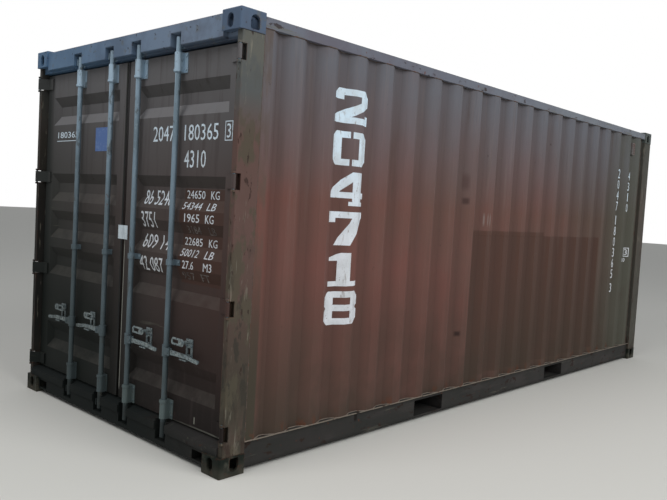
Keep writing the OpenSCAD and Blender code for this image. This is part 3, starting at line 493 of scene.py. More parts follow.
    # White stencil enamel, thin at the edges and scuffed back to the wall here and there.
    out["mark"] = finish("white_stencil_enamel", c.mark, 0.55, [
        ("#d0e6f5", 0.55, 0.9, ("z", 1.3, 2.15)),
        ("#b9bdbf", 0.6, 0.5, ("noise", 130, 0.42, 0.62, 121)),
        ("#8d8480", 0.65, 0.7, ("noise", 26, 0.6, 0.68, 122, (1, 1, 0.3))),
        (c.side, 0.65, 0.9, ("noise", 14, 0.66, 0.69, 123)),
    ], [(0.15, 20, 22)])
    out["old_mark"] = finish("painted_over_stencil_enamel", "#6c6663", 0.6, [
        (c.door, 0.6, 0.9, ("noise", 30, 0.42, 0.58, 131)),
        ("#a09b97", 0.6, 0.5, ("noise", 12, 0.55, 0.66, 132)),
    ])
    # Weld beads under dusty enamel.
    out["weld"] = finish("enamel_over_weld_beads", "#5a4f49", 0.75, [
        ("#4a403c", 0.7, 0.8, ("noise", 60, 0.42, 0.55, 161)),
        ("#83796e", 0.8, 0.7, ("z", 0.21, 0.19)),
        (c.rust, 0.85, 0.6, ("noise", 40, 0.56, 0.64, 162)),
    ], [(0.3, 6, 25)])
    # Printed vinyl plate and paper label, both bare.
    out["plate"] = finish("blue_vinyl_plate", c.plate, 0.4, [
        ("#6f86ad", 0.5, 0.5, ("noise", 40, 0.52, 0.66, 141)),
        ("#3b3f4a", 0.6, 0.5, ("noise", 18, 0.58, 0.68, 142, RUNS)),
    ])
    out["label"] = finish("faded_paper_label", c.label, 0.6, [
        ("#a3b0b8", 0.65, 0.6, ("noise", 18, 0.48, 0.62, 151, (1, 1, 0.2))),
        ("#7c8489", 0.7, 0.5, ("noise", 8, 0.58, 0.66, 152)),
    ])
    return out


FINISHES = {}

NODE_FINISH = {
    "side": ("side_wall_left", "side_wall_right", "front_wall"),
    "door": ("left_door_frame", "left_door_panel", "right_door_frame", "right_door_panel"),
    "rail": ("front_top_rail", "top_side_rail_left", "top_side_rail_right", "roof_end_plates"),
    "sole": (
        "door_sill", "front_bottom_rail", "bottom_side_rail_left", "bottom_side_rail_right",
        "floor_cross_members", "fork_pocket_plates",
    ),
    "post": [f"{end}_post_{side}" for end in ("rear", "front") for _, side in SIDES],
    "header": ("door_header",),
    "fitting": [f"top_fitting_{end}_{side}" for end in ("rear", "front") for _, side in SIDES],
    "casting": ("bottom_corner_fittings",),
    "roof": ("roof_panel",),
    "zinc": ("cam_keepers", "hinge_pins", *(f"locking_bar_{i}" for i in range(1, 5))),
    "bearing": ("left_door_bar_guides", "right_door_bar_guides"),
    "grip": (
        "left_door_handle_holders", "right_door_handle_holders",
        *(f"{part}_{i}" for part in ("bar_handle", "handle_catch") for i in range(1, 5)),
    ),
    "rubber": ("left_door_gasket", "right_door_gasket"),
    "wood": ("floor_boards",),
    "vent": ("side_vents",),
}


def wear(mesh, finish_name):
    """Gives a mesh one finish."""
    mesh.materials.clear()
    mesh.materials.append(FINISHES[finish_name])


# ---------- meshes ----------


def link(name, mesh):
    made = bpy.data.objects.new(name, mesh)
    bpy.context.scene.collection.objects.link(made)
    return made


def made_mesh(bm, name):
    """The plain mesh of a working mesh, which goes."""
    mesh = bpy.data.meshes.new(name)
    bm.to_mesh(mesh)
    bm.free()
    return mesh


def settle(obj, name):
    """A plain mesh object of what obj shows; obj goes."""
    bpy.context.view_layer.update()
    seen = obj.evaluated_get(bpy.context.evaluated_depsgraph_get())
    mesh = bpy.data.meshes.new_from_object(seen)
    bpy.data.objects.remove(obj)
    mesh.name = name
    return link(name, mesh)


def piece(obj, body, finish_name):
    """Paints obj and lets it ride on a body."""
    wear(obj.data, finish_name)
    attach(obj, body)


def blocks(name, boxes, bevel):
    """One mesh of boxes, each given by two corners, with eased edges."""
    bm = bmesh.new()
    for a, b in boxes:
        middle = (Vector(a) + Vector(b)) / 2
        size = Vector(b) - Vector(a)
        place = Matrix.Translation(middle) @ Matrix.Diagonal((*map(abs, size), 1))
        bmesh.ops.create_cube(bm, size=1, matrix=place)
    bmesh.ops.bevel(bm, geom=bm.edges[:], offset=bevel, segments=2, profile=0.5, affect="EDGES")
    bmesh.ops.recalc_face_normals(bm, faces=bm.faces[:])
    return link(name, made_mesh(bm, name))


# ---------- repeated pieces ----------

# A head's top against its foot; how far a bead thins and swells; sides of rings, rods and beads
DOME, THIN, SWOLLEN = 0.66, 0.75, 1.3
RING_SIDES, ROD_SIDES, BEAD_SIDES = 20, 8, 6


def new_tree(name, *sizes):
    """A tree that takes a mesh, named sizes and a finish, and what its input node feeds."""
    tree = bpy.data.node_groups.new(name, "GeometryNodeTree")
    for label, kind in (("Geometry", "Geometry"), *sizes, ("Finish", "Material")):
        tree.interface.new_socket(label, in_out="INPUT", socket_type=f"NodeSocket{kind}")
    tree.interface.new_socket("Geometry", in_out="OUTPUT", socket_type="NodeSocketGeometry")
    return tree, put(tree, "NodeGroupInput").outputs


def on_points(tree, fed, shape):
    """The shape on each point that the tree is given, turned to what the point faces."""
    facing = put(
        tree, "GeometryNodeInputNamedAttribute", {"Name": "facing"}, data_type="FLOAT_VECTOR"
    )
    turn = put(tree, "FunctionNodeAlignRotationToVector", None, {"Vector": facing}, axis="Z")
    laid = {"Points": fed["Geometry"], "Instance": shape, "Rotation": turn}
    return put(tree, "GeometryNodeInstanceOnPoints", None, laid)


def close_tree(tree, fed, shape):
    """Makes the shape real, gives it its finish and ends the tree with it."""
    real = put(tree, "GeometryNodeRealizeInstances", None, {"Geometry": shape})
    worn = {"Geometry": real, "Material": fed["Finish"]}
    put(tree, "NodeGroupOutput", None, {0: put(tree, "GeometryNodeSetMaterial", None, worn)})
    return tree


def heads_tree():
    """Low domed heads on points."""
    tree, fed = new_tree(
        "fixing_heads", ("Head Radius", "Float"), ("Head Height", "Float"), ("Sides", "Int")
    )
    wide = fed["Head Radius"]
    head = put(tree, "GeometryNodeMeshCone", {"Side Segments": 2}, {
        "Vertices": fed["Sides"], "Radius Bottom": wide, "Depth": fed["Head Height"],
        "Radius Top": put(tree, "ShaderNodeMath", {1: DOME}, {0: wide}, operation="MULTIPLY"),
    })
    return close_tree(tree, fed, on_points(tree, fed, head))


def rings_tree():
    """Round rod rings on points, flat against what each point faces."""
    tree, fed = new_tree("lashing_rings", ("Ring Radius", "Float"), ("Rod Radius", "Float"))
    line, rod = (
        put(tree, "GeometryNodeCurvePrimitiveCircle", {"Resolution": n}, {"Radius": fed[radius]})
        for n, radius in ((RING_SIDES, "Ring Radius"), (ROD_SIDES, "Rod Radius"))
    )
    ring = put(tree, "GeometryNodeCurveToMesh", None, {"Curve": line, "Profile Curve": rod})
    return close_tree(tree, fed, on_points(tree, fed, ring))


def bead_tree():
    """A weld bead along the edges it is given, with the slight swelling of a hand laid run."""
    tree, fed = new_tree("weld_bead", ("Bead Width", "Float"), ("Step", "Float"), ("Seed", "Int"))
    line = put(tree, "GeometryNodeMeshToCurve", None, {"Mesh": fed["Geometry"]})
    pace = {"Curve": line, "Length": fed["Step"]}
    line = put(tree, "GeometryNodeResampleCurve", None, pace, mode="LENGTH")
    limits = {2: THIN, 3: SWOLLEN}
    swell = put(
        tree, "FunctionNodeRandomValue", limits, {"Seed": fed["Seed"]}, data_type="FLOAT"
    ).outputs[1]
    line = put(tree, "GeometryNodeSetCurveRadius", None, {"Curve": line, "Radius": swell})
    half = put(tree, "ShaderNodeMath", {1: 0.5}, {0: fed["Bead Width"]}, operation="MULTIPLY")
    sides = {"Resolution": BEAD_SIDES}
    rod = put(tree, "GeometryNodeCurvePrimitiveCircle", sides, {"Radius": half})
    swept = {"Curve": line, "Profile Curve": rod, "Scale": swell}
    run = put(tree, "GeometryNodeCurveToMesh", {"Fill Caps": True}, swept)
    return close_tree(tree, fed, run)


def grow(name, tree, mesh, body, finish_name, sizes):
    """Runs a tree on a mesh, keeps the plain result and lets it ride."""
    host = link(name + "_host", mesh)
    modifier = host.modifiers.new("rule", "NODES")
    modifier.node_group = tree
    given = {"Finish": FINISHES[finish_name], **sizes}
    for item in tree.interface.items_tree:
        if item.in_out == "INPUT" and item.name in given:
            modifier[item.identifier] = given[item.name]
    piece(settle(host, name), body, finish_name)


def heads(name, tree, points, body, radius, height, sides):
    """Zinc heads on points, each point with the direction that it faces."""
    sizes = {"Head Radius": radius, "Head Height": height, "Sides": sides}
    grow(name, tree, dots(points), body, "zinc", sizes)


def dots(points):
    """A mesh of loose points, each with the direction that it faces."""
    mesh = bpy.data.meshes.new("dots")
    mesh.from_pydata([p for p, _ in points], [], [])
    facing = mesh.attributes.new("facing", "FLOAT_VECTOR", "POINT")
    for i, (_, way) in enumerate(points):
        facing.data[i].vector = way
    return mesh


def lines(runs):
    """A mesh of open runs of points."""
    verts, edges = [], []
    for run in runs:
        start = len(verts)
        verts += run
        edges += [(start + i, start + i + 1) for i in range(len(run) - 1)]
    mesh = bpy.data.meshes.new("lines")
    mesh.from_pydata(verts, edges, [])
    return mesh


# ---------- surfaces that marks lie on ----------

# What keeps a mark's back clear of its surface
CLEAR = 0.0002


def share(value):
    """The value, kept from 0 to 1."""
    return max(0.0, min(1.0, value))


def side_folds():
    """Distances from the rear plane at which the side wall folds."""
    folds = [SIDE_EDGE, SIDE_EDGE + SIDE_SLOPE]
    for k in range(SIDE_COUNT):
        a = SIDE_FIRST + k * SIDE_PITCH
        folds += [a - SIDE_SLOPE, a, a + SIDE_CREST, a + SIDE_CREST + SIDE_SLOPE]
    return folds


def side_depth(d):
    """How far the side wall stands in at distance d from the rear plane."""
    if d < SIDE_EDGE + SIDE_SLOPE:
        return share((d - SIDE_EDGE) / SIDE_SLOPE) * SIDE_DEPTH
    k = max(0, min(SIDE_COUNT - 1, round((d - SIDE_FIRST - SIDE_CREST / 2) / SIDE_PITCH)))
    off = abs(d - (SIDE_FIRST + k * SIDE_PITCH + SIDE_CREST / 2)) - SIDE_CREST / 2
    return share(off / SIDE_SLOPE) * SIDE_DEPTH


def side_surface(s):
    """The right (s = 1) or left side wall, of distances u from the rear plane and heights z."""

    def place(u, z):
        return Vector((s * (WALL_X - side_depth(u) + CLEAR), REAR + u, z))

    return place, side_folds(), [], Vector((s, 0, 0))


def door_surface():
    """The outer face of both leaves."""

    def place(x, z):
        ends = min(abs(x) - PAN_X0, PAN_X1 - abs(x)) / PAN_END
        deep = max((PAN_HALF - abs(z - middle)) / PAN_SLOPE for middle in PAN_Z)
        return Vector((x, LEAF_Y + share(min(ends, deep)) * PAN_DEPTH - CLEAR, z))

    halves = (PAN_HALF, PAN_HALF - PAN_SLOPE)
    folds = [z + s * h for z in PAN_Z for s in (-1, 1) for h in halves]
    return place, [], folds, Vector((0, -1, 0))


def end_surface():
    """The closed end."""
    count = math.floor((2 * END_WALL.x - END_CREST) / END_PITCH)
    start = -(count * END_PITCH + END_CREST) / 2 + END_CREST
    wide = END_PITCH - END_CREST

    def place(x, z):
        off = (x - start) % END_PITCH
        deep = share(min(off, wide - off) / END_SLOPE) * END_DEPTH
        return Vector((x, END_WALL.y - deep + CLEAR, z))

    steps = (0, END_SLOPE, wide - END_SLOPE, wide)
    folds = [start + k * END_PITCH + step for k in range(count) for step in steps]
    return place, folds, [], Vector((0, 1, 0))


def lay(name, mesh, surface, film):
    """Folds a flat mesh onto a surface and gives it a film's thickness."""
    place, folds_u, folds_v, outward = surface
    bm = bmesh.new()
    bm.from_mesh(mesh)
    bmesh.ops.remove_doubles(bm, verts=bm.verts[:], dist=1e-5)
    us, vs = [v.co.x for v in bm.verts], [v.co.y for v in bm.verts]
    cuts = [((u, 0, 0), (1, 0, 0)) for u in folds_u if min(us) < u < max(us)]
    cuts += [((0, v, 0), (0, 1, 0)) for v in folds_v if min(vs) < v < max(vs)]
    for at, way in cuts:
        whole = bm.verts[:] + bm.edges[:] + bm.faces[:]
        bmesh.ops.bisect_plane(bm, geom=whole, dist=1e-6, plane_co=at, plane_no=way)
    for v in bm.verts:
        v.co = place(v.co.x, v.co.y)
    bm.normal_update()
    for f in bm.faces:
        if f.normal.dot(outward) < 0:
            f.normal_flip()
    made = link(name, made_mesh(bm, name))
    solid = made.modifiers.new("film", "SOLIDIFY")
    solid.thickness = film
    solid.offset = 1
    return settle(made, name)


def flat_mesh(data):
    """The flat mesh that a text or a filled curve shows."""
    made = settle(link("flat", data), "flat")
    mesh = made.data
    bpy.data.objects.remove(made)
    return mesh


def flat_text(text, x0, x1, z0, z1):
    """Flat mesh of plain text that fills a box."""
    data = bpy.data.curves.new("text", "FONT")
    data.body = text
    data.resolution_u = 2
    mesh = flat_mesh(data)
    xs, ys = [v.co.x for v in mesh.vertices], [v.co.y for v in mesh.vertices]
    left, foot = min(xs), min(ys)
    wide, tall = max(xs) - left, max(ys) - foot
    for v in mesh.vertices:
        x, z = (v.co.x - left) / wide, (v.co.y - foot) / tall
        v.co = (x0 + x * (x1 - x0), z0 + z * (z1 - z0), 0)
    return mesh


def texts(rows):
    return [flat_text(*row) for row in rows]


def numerals():
    """Loops of the big block numerals, each in a unit square."""
    v, t, c = 0.3, 0.19, 0.15  # upright stroke, level stroke, corner cut
    m0, m1, g = 0.5 - t / 2, 0.5 + t / 2, 0.025  # waist, and half of the gap in the nought
    crown = [(1, 1 - c), (1 - c, 1), (c, 1), (0, 1 - c)]
    waist = [(1, m0 + 0.02), (1 - c / 2, 0.5), (1, m1 - 0.02)]
    turned = [(1 - x, y) for x, y in reversed(waist)]
    half = [
        (0.5 - g, 0), (c, 0), (0, c), (0, 1 - c), (c, 1), (0.5 - g, 1), (0.5 - g, 1 - t),
        (v, 1 - t), (v, t), (0.5 - g, t),
    ]
    return {
        "0": [half, [(1 - x, y) for x, y in half]],
        "1": [[
            (0.12, 0), (0.88, 0), (0.88, 0.15), (0.5 + v / 2, 0.15), (0.5 + v / 2, 1), (0.42, 1),
            (0.12, 0.86), (0.12, 0.76), (0.5 - v / 2, 0.76), (0.5 - v / 2, 0.15), (0.12, 0.15),
        ]],
        "2": [[
            (0, 0), (1, 0), (1, 0.28), (0.88, 0.28), (0.88, t), (0.46, t), (1, 0.55), *crown,
            (0, 0.68), (v, 0.68), (v, 1 - t), (1 - v, 1 - t), (1 - v, 0.63), (0, 0.2),
        ]],
        "4": [[
            (0.5, 0), (0.98, 0), (0.98, 0.12), (0.9, 0.12), (0.9, 0.22), (1, 0.22), (1, 0.4),
            (0.9, 0.4), (0.9, 1), (0.56, 1), (0, 0.4), (0, 0.22), (0.58, 0.22), (0.58, 0.12),
            (0.5, 0.12),
        ], [(0.58, 0.4), (0.3, 0.4), (0.58, 0.72)]],
        "7": [[
            (0, 1), (1, 1), (1, 0.82), (0.6, 0), (0.22, 0), (0.62, 1 - t), (0.24, 1 - t),
            (0.24, 0.68), (0, 0.68),
        ]],
        "8": [
            [(c, 0), (1 - c, 0), (1, c), *waist, *crown, *turned, (0, c)],
            [(v, t), (1 - v, t), (1 - v, m0), (v, m0)],
            [(v, m1), (1 - v, m1), (1 - v, 1 - t), (v, 1 - t)],
        ],
    }


def flat_numerals(items):
    """Flat mesh of block numerals, each (digit, u0, u1, z0, z1)."""
    data = bpy.data.curves.new("numerals", "CURVE")
    data.dimensions = "2D"
    data.fill_mode = "BOTH"
    shapes = numerals()
    for digit, u0, u1, z0, z1 in items:
        for loop in shapes[digit]:
            spline = data.splines.new("POLY")
            spline.points.add(len(loop) - 1)
            for point, (x, y) in zip(spline.points, loop):
                point.co = (u0 + x * (u1 - u0), z0 + y * (z1 - z0), 0, 1)
            spline.use_cyclic_u = True
    return flat_mesh(data)


def joined(meshes):
    """One mesh of several."""
    bm = bmesh.new()
    for mesh in meshes:
        bm.from_mesh(mesh)
    return made_mesh(bm, "joined")


def frame_box(u0, u1, z0, z1, w):
    """Flat mesh of a thin rectangular outline."""
    mesh = bpy.data.meshes.new("outline")
    outer = [(u0, z0, 0), (u1, z0, 0), (u1, z1, 0), (u0, z1, 0)]
    inner = [(u0 + w, z0 + w, 0), (u1 - w, z0 + w, 0), (u1 - w, z1 - w, 0), (u0 + w, z1 - w, 0)]
    faces = [(i, (i + 1) % 4, (i + 1) % 4 + 4, i + 4) for i in range(4)]
    mesh.from_pydata(outer + inner, [], faces)
    return mesh


# ---------- operators ----------


class CONTAINER_OT_finishes(bpy.types.Operator):
    """Make the finishes and put them on the frame"""

    bl_idname = "container.finishes"
    bl_label = "Paint Frame"

    def execute(self, context):
        FINISHES.update(make_finishes())
        for name, nodes in NODE_FINISH.items():
            for node in nodes:
                wear(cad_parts[node].data, name)
        return {"FINISHED"}


class CONTAINER_OT_side_marks(bpy.types.Operator):
    """Stencil the plain numbers on the side walls and the closed end"""

    bl_idname = "container.side_marks"
    bl_label = "Side Numbers"

    # The big numerals, one above the other, and their upper edges
    BIG = tuple(zip("204718", (2.295, 2.029, 1.775, 1.521, 1.258, 1.010)))
    # Columns of small digits: digits, middle, upper edge, pitch, height, half width,
    # and the digits after which a gap follows
    COLUMNS = (
        ("20471803653", 5.322, 2.135, 0.117, 0.098, 0.024, (3, 9)),
        ("4310", 5.6025, 2.125, 0.1175, 0.092, 0.0225, ()),
    )
    GAP, HALF_ONE = 0.035, 0.009
    # The box below them, its digit and the small number under it, and the closed end's row
    BOX = (5.604, 5.682, 1.183, 1.283, 0.008)
    BELOW = (("3", 5.624, 5.662, 1.201, 1.265), ("10", 5.585, 5.640, 1.123, 1.169))
    END_ROW = ("2047 180365 3", 0.86, -0.10, 2.20, 2.30)

    def column(self, s):
        """Flat meshes of the small digits; s = -1 turns them for the left wall."""
        made = []
        for digits, u, top, pitch, tall, half, gaps in self.COLUMNS:
            for i, digit in enumerate(digits):
                z = top - i * pitch - sum(self.GAP for gap in gaps if i > gap)
                wide = self.HALF_ONE if digit == "1" else half
                made.append(flat_text(digit, *(u - wide, u + wide)[::s], z - tall, z))
        made.append(frame_box(*self.BOX))
        return made + texts((text, *(u0, u1)[::s], z0, z1) for text, u0, u1, z0, z1 in self.BELOW)

    def execute(self, context):
        _, m, _ = settings()
        for s, side in SIDES:
            ends = (m.stack_d, m.stack_d + m.stack_w)[::s]
            big = flat_numerals([(digit, *ends, z - m.stack_h, z) for digit, z in self.BIG])
            small = joined(self.column(s))
            for name, mesh in (("big", big), ("small", small)):
                made = lay(f"{name}_numerals_{side}", mesh, side_surface(s), m.film)
                piece(made, "container", "mark")
        row = lay("end_numerals", flat_text(*self.END_ROW), end_surface(), m.film)
        piece(row, "container", "mark")
        return {"FINISHED"}


class CONTAINER_OT_door_marks(bpy.types.Operator):
    """Stencil the plain numbers and the weight table on the door leaves"""

    bl_idname = "container.door_marks"
    bl_label = "Door Marks"

    # Texts with their left, right, lower and upper edges
    UPPER = (("2047", 0.308, 0.540, 1.892, 1.987), ("180365", 0.645, 0.973, 1.892, 1.987))
    BOX = (1.034, 1.102, 1.884, 1.995, 0.005)
    TABLE = (
        ("3", 1.050, 1.086, 1.900, 1.980), ("4310", 0.651, 0.866, 1.731, 1.834),
        ("86 5240", 0.204, 0.510, 1.497, 1.590), ("3751", 0.204, 0.363, 1.352, 1.453),
        ("609 14", 0.204, 0.500, 1.220, 1.310), ("42 087", 0.204, 0.468, 1.075, 1.168),
        ("24650", 0.649, 0.830, 1.549, 1.598), ("KG", 0.886, 0.966, 1.549, 1.598),
        ("54344", 0.643, 0.830, 1.483, 1.526), ("LB", 0.886, 0.966, 1.483, 1.526),
        ("1965", 0.678, 0.828, 1.408, 1.458), ("KG", 0.886, 0.966, 1.408, 1.458),
        ("22685", 0.647, 0.825, 1.268, 1.315), ("KG", 0.886, 0.966, 1.268, 1.315),
        ("50012", 0.646, 0.820, 1.201, 1.245), ("LB", 0.886, 0.966, 1.201, 1.245),
        ("27.6", 0.678, 0.790, 1.127, 1.176), ("M3", 0.886, 0.966, 1.127, 1.176),
    )
    FAINT = (
        ("3184", 0.690, 0.822, 1.341, 1.386), ("LB", 0.904, 0.965, 1.341, 1.386),
        ("957", 0.661, 0.785, 1.062, 1.108), ("FT", 0.850, 0.930, 1.062, 1.108),
    )
    LEFT = ("180365", -0.985, -0.670, 1.945, 1.990)
    LEFT_LINE = (-1.000, -0.655, 1.921, 1.926, 0.0024)

    # Flat parts of the left leaf: name, left, right, lower and upper edge, how far the front
    # and the back stand out, eased edge and finish
    FLATS = (
        ("seal_lip", -0.032, -0.0125, LEAF_Z0 + 0.002, LEAF_Z1 - 0.002, 0.003, 0, 0.001, "rubber"),
        ("bare_plate", -0.421, -0.245, 1.842, 2.005, 0.0012, 0, 0.0005, "plate"),
        ("blank_label", -0.064, 0.052, 1.255, 1.347, 0.0044, 0.003, 0.0005, "label"),
    )

    def execute(self, context):
        _, m, _ = settings()
        fresh = [*texts(self.UPPER), frame_box(*self.BOX), *texts(self.TABLE)]
        left = [flat_text(*self.LEFT), frame_box(*self.LEFT_LINE)]
        for name, meshes, body, paint_name in (
            ("door_numbers_right", fresh, "right_door", "mark"),
            ("door_faint_numbers", texts(self.FAINT), "right_door", "old_mark"),
            ("door_numbers_left", left, "left_door", "mark"),
        ):
            piece(lay(name, joined(meshes), door_surface(), m.film), body, paint_name)
        for name, x0, x1, z0, z1, out, back, ease, finish_name in self.FLATS:
            box = ((x0, LEAF_Y - out, z0), (x1, LEAF_Y - back, z1))
            piece(blocks(name, [box], ease), "left_door", finish_name)
        return {"FINISHED"}


class CONTAINER_OT_welds(bpy.types.Operator):
    """Run weld beads along the walls, posts and rails"""

    bl_idname = "container.welds"
    bl_label = "Weld Beads"

    # How far a bead's middle stands out, the step between its swellings, and its seed
    PROUD, STEP, SEED = 0.001, 0.012, 3

    def execute(self, context):
        _, _, f = settings()
        tree = bead_tree()
        folds = [WALL_START, *side_folds(), WALL_END]
        for s, side in SIDES:
            runs = [
                [(s * (WALL_X - side_depth(d) + self.PROUD), REAR + d, z) for d in folds]
                for z in (WALL_Z0 + self.PROUD, WALL_Z1 - self.PROUD)
            ]
            for x, d in ((WALL_X, WALL_START), (WALL_X - SIDE_DEPTH, WALL_END)):
                runs.append([(s * x, REAR + d, z) for z in (WALL_Z0, WALL_Z1)])
            grow(
                f"wall_welds_{side}", tree, lines(runs), "container", "weld",
                {"Bead Width": f.bead, "Step": self.STEP, "Seed": self.SEED},
            )
        return {"FINISHED"}


class CONTAINER_OT_bolts(bpy.types.Operator):
    """Bolt the bearings and handle plates to the leaves and screw the floor down"""

    bl_idname = "container.bolts"
    bl_label = "Bolts and Screws"

    # The gear's plates and bolts, then the bolts of one bar: distance outwards from it, height
    PLATE, BOLT_HEIGHT, BOLT_SIDES = 0.006, 0.005, 12
    BEARING = [(0.040, z + k * 0.04) for z in (LEAF_Z1 - 0.065, LEAF_Z0 + 0.061) for k in (-1, 1)]
    HOLDER = [(HOLD_X + k * 0.024, HUB_Z + z) for z in (0.056, -0.006) for k in (-1, 1)]
    GEAR = (*BEARING, (0.046, 1.157), *HOLDER)
    # Floor screws: rows along the box, and places across each board
    FIRST_ROW, ROW_PITCH, ROWS, BOARDS = 0.30, 0.27, 21, 4
    ACROSS, SUNK, SCREW_HEIGHT, SCREW_SIDES = (0.05, 0.35, 0.65, 0.95), 0.001, 0.0018, 10

    def execute(self, context):
        _, _, f = settings()
        tree = heads_tree()
        for s, side in SIDES:
            spots = [
                ((s * (x + dx), LEAF_Y - self.PLATE, z), (0, -1, 0))
                for x in BAR_X for dx, z in self.GEAR
            ]
            name, body = f"gear_bolts_{side}", f"{side}_door"
            heads(name, tree, spots, body, f.bolt_r, self.BOLT_HEIGHT, self.BOLT_SIDES)
        wide = FLOOR_HIGH.x - FLOOR_LOW.x
        rows = [REAR + self.FIRST_ROW + self.ROW_PITCH * k for k in range(self.ROWS)]
        screws = [
            ((FLOOR_LOW.x + wide * (k + e) / self.BOARDS, y, FLOOR_HIGH.z - self.SUNK), (0, 0, 1))
            for y in rows for k in range(self.BOARDS) for e in self.ACROSS
        ]
        sizes = f.screw_r, self.SCREW_HEIGHT, self.SCREW_SIDES
        heads("floor_screws", tree, screws, "container", *sizes)
        return {"FINISHED"}


class CONTAINER_OT_seal_strips(bpy.types.Operator):
    """Hold the door seals with riveted strips"""

    bl_idname = "container.seal_strips"
    bl_label = "Seal Strips"

    INSET, WIDTH, THICK, EASE = 0.012, 0.016, 0.0018, 0.0004
    # Rivets stand this far from the corners, and so many along a leaf's height and width
    CORNER, UP, ACROSS, RIVET_HEIGHT, RIVET_SIDES = 0.06, 15, 8, 0.002, 10

    def spread(self, low, high, count):
        reach = high - low - 2 * self.CORNER
        return [low + self.CORNER + k * reach / (count - 1) for k in range(count)]

    def execute(self, context):
        _, _, f = settings()
        tree, w = heads_tree(), self.WIDTH
        for s, side in SIDES:
            low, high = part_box(f"{side}_door_gasket")
            y0, y1 = high.y, high.y + self.THICK
            x0, x1 = low.x + self.INSET, high.x - self.INSET
            z0, z1 = low.z + self.INSET, high.z - self.INSET
            strips = [
                ((x0, y0, z0), (x1, y1, z0 + w)), ((x0, y0, z1 - w), (x1, y1, z1)),
                ((x0, y0, z0 + w), (x0 + w, y1, z1 - w)), ((x1 - w, y0, z0 + w), (x1, y1, z1 - w)),
            ]
            body = f"{side}_door"
            piece(blocks(f"seal_strips_{side}", strips, self.EASE), body, "zinc")
            places = [
                (x, z) for z in self.spread(z0, z1, self.UP) for x in (x0 + w / 2, x1 - w / 2)
            ]
            places += [
                (x, z) for x in self.spread(x0, x1, self.ACROSS) for z in (z0 + w / 2, z1 - w / 2)
            ]
            rivets = [((x, y1, z), (0, 1, 0)) for x, z in places]
            name = f"seal_rivets_{side}"
            heads(name, tree, rivets, body, f.rivet_r, self.RIVET_HEIGHT, self.RIVET_SIDES)
        return {"FINISHED"}


class CONTAINER_OT_lashing_rings(bpy.types.Operator):
    """Hang the lashing rings along the inside of the side walls"""

    bl_idname = "container.lashing_rings"
    bl_label = "Lashing Rings"

    # Wall's thickness, place on the inner flat, room under the lower and above the upper row
    SHEET, PAST_SLOPE, FOOT, HEAD, EVERY = 0.002, 0.035, 0.012, 0.06, 3

    def execute(self, context):
        _, _, f = settings()
        tree = rings_tree()
        flat = REAR + SIDE_FIRST + SIDE_CREST + SIDE_SLOPE + self.PAST_SLOPE
        for s, side in SIDES:
            x = s * (WALL_X - SIDE_DEPTH - self.SHEET - f.rod_r)
            heights = (FLOOR_HIGH.z + f.ring_r + self.FOOT, WALL_Z1 - self.HEAD)
            spots = [
                ((x, flat + k * SIDE_PITCH, z), (s, 0, 0))
                for k in range(1, SIDE_COUNT - 1, self.EVERY) for z in heights
            ]
            grow(
                f"lashing_rings_{side}", tree, dots(spots), "container", "zinc",
                {"Ring Radius": f.ring_r, "Rod Radius": f.rod_r},
            )
        return {"FINISHED"}


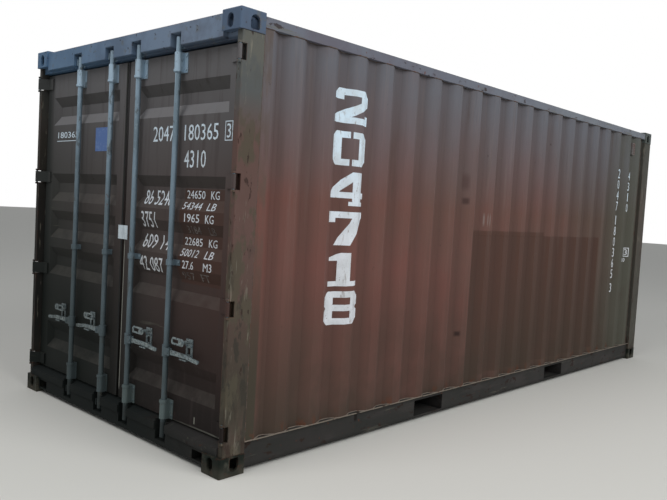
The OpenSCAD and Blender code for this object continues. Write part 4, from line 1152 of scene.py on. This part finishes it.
class CONTAINER_OT_stage(bpy.types.Operator):
    """Set the floor, the lamps, the pale surround and the camera"""

    bl_idname = "container.stage"
    bl_label = "Stage"

    FLOOR_REACH, FLOOR_ROUGH = 60, 0.9
    # Lamps: name, place, diameter, power and what they point at
    LAMPS = (
        ("key", (10.5, -1.5, 7.5), 8.0, 780, (0, 0, 1.2)),
        ("sky", (1.0, -7.5, 8.0), 5.0, 270, (0, -3.0, 1.2)),
    )
    SURROUND, SURROUND_POWER = (0.93, 0.96, 1.0, 1), 0.3
    # The camera: place, the picture's right and up in the scene, focal length and sensor in mm
    EYE, EYE_RIGHT, EYE_UP = (
        (4.2766, -5.4784, 1.5436), (0.72714, 0.68411, 0.05716), (-0.08204, 0.00393, 0.99662)
    )
    LENS, SENSOR, SIGHT = 38.66, 36.0, 200

    def execute(self, context):
        scene = context.scene
        scene.view_settings.view_transform = "Standard"
        self.floor()
        self.world(scene)
        for lamp in self.LAMPS:
            self.lamp(*lamp)
        self.camera(scene)
        return {"FINISHED"}

    def camera(self, scene):
        data = bpy.data.cameras.new("camera")
        data.lens, data.sensor_width, data.clip_end = self.LENS, self.SENSOR, self.SIGHT
        scene.camera = link("camera", data)
        right = Vector(self.EYE_RIGHT).normalized()
        back = Vector(self.EYE_RIGHT).cross(Vector(self.EYE_UP)).normalized()
        up = back.cross(Vector(self.EYE_RIGHT)).normalized()
        turn = Matrix((right, up, back)).transposed().to_4x4()
        scene.camera.matrix_world = Matrix.Translation(self.EYE) @ turn

    def floor(self):
        mesh = bpy.data.meshes.new("floor")
        r = self.FLOOR_REACH
        mesh.from_pydata([(-r, -r, 0), (r, -r, 0), (r, r, 0), (-r, r, 0)], [], [(0, 1, 2, 3)])
        ground = link("floor", mesh)
        ground.location.z = LOW.z
        made = bpy.data.materials.new("pale_floor")
        made.use_nodes = True
        shader = made.node_tree.nodes["Principled BSDF"].inputs
        shader["Base Color"].default_value = (*settings()[0].floor, 1)
        shader["Roughness"].default_value = self.FLOOR_ROUGH
        mesh.materials.append(made)

    def world(self, scene):
        """A soft surround that the camera, glossy and clear surfaces see as white."""
        scene.world = bpy.data.worlds.new("surround")
        scene.world.use_nodes = True
        tree = scene.world.node_tree
        tree.nodes.clear()
        path = put(tree, "ShaderNodeLightPath").outputs
        seen = path["Is Camera Ray"]
        for other in ("Is Glossy Ray", "Is Transmission Ray"):
            either = {0: seen, 1: path[other]}
            seen = put(tree, "ShaderNodeMath", None, either, operation="MAXIMUM")
        soft, white = (
            put(tree, "ShaderNodeBackground", {"Color": tint, "Strength": power})
            for tint, power in ((self.SURROUND, self.SURROUND_POWER), ((1, 1, 1, 1), 1.0))
        )
        mixed = put(tree, "ShaderNodeMixShader", None, {0: seen, 1: soft, 2: white})
        put(tree, "ShaderNodeOutputWorld", None, {"Surface": mixed})

    def lamp(self, name, spot, size, power, target):
        data = bpy.data.lights.new(name, "AREA")
        data.shape, data.size, data.energy = "DISK", size, power
        made = link(name, data)
        made.location = spot
        aim = Vector(target) - Vector(spot)
        made.rotation_euler = aim.to_track_quat("-Z", "Y").to_euler()


STEPS = (
    CONTAINER_OT_finishes,
    CONTAINER_OT_side_marks,
    CONTAINER_OT_door_marks,
    CONTAINER_OT_welds,
    CONTAINER_OT_bolts,
    CONTAINER_OT_seal_strips,
    CONTAINER_OT_lashing_rings,
    CONTAINER_OT_stage,
)


class CONTAINER_PT_panel(bpy.types.Panel):
    """Sizes, colours and steps of the container"""

    bl_idname = "CONTAINER_PT_panel"
    bl_label = "Dry Freight Container"
    bl_space_type = "VIEW_3D"
    bl_region_type = "UI"
    bl_category = "Container"

    def draw(self, context):
        for group in settings():
            column = self.layout.column(align=True)
            for name in group.__annotations__:
                column.prop(group, name)
        for step in STEPS:
            self.layout.operator(step.bl_idname)


CLASSES = (*GROUPS.values(), *STEPS, CONTAINER_PT_panel)


def register():
    for made in CLASSES:
        bpy.utils.register_class(made)
    for name, group in GROUPS.items():
        setattr(bpy.types.Scene, name, bpy.props.PointerProperty(type=group))


def unregister():
    for name in GROUPS:
        delattr(bpy.types.Scene, name)
    for made in reversed(CLASSES):
        bpy.utils.unregister_class(made)


def main():
    register()
    for step in STEPS:
        group, name = step.bl_idname.split(".")
        getattr(getattr(bpy.ops, group), name)()


if __name__ == "__main__":
    main()
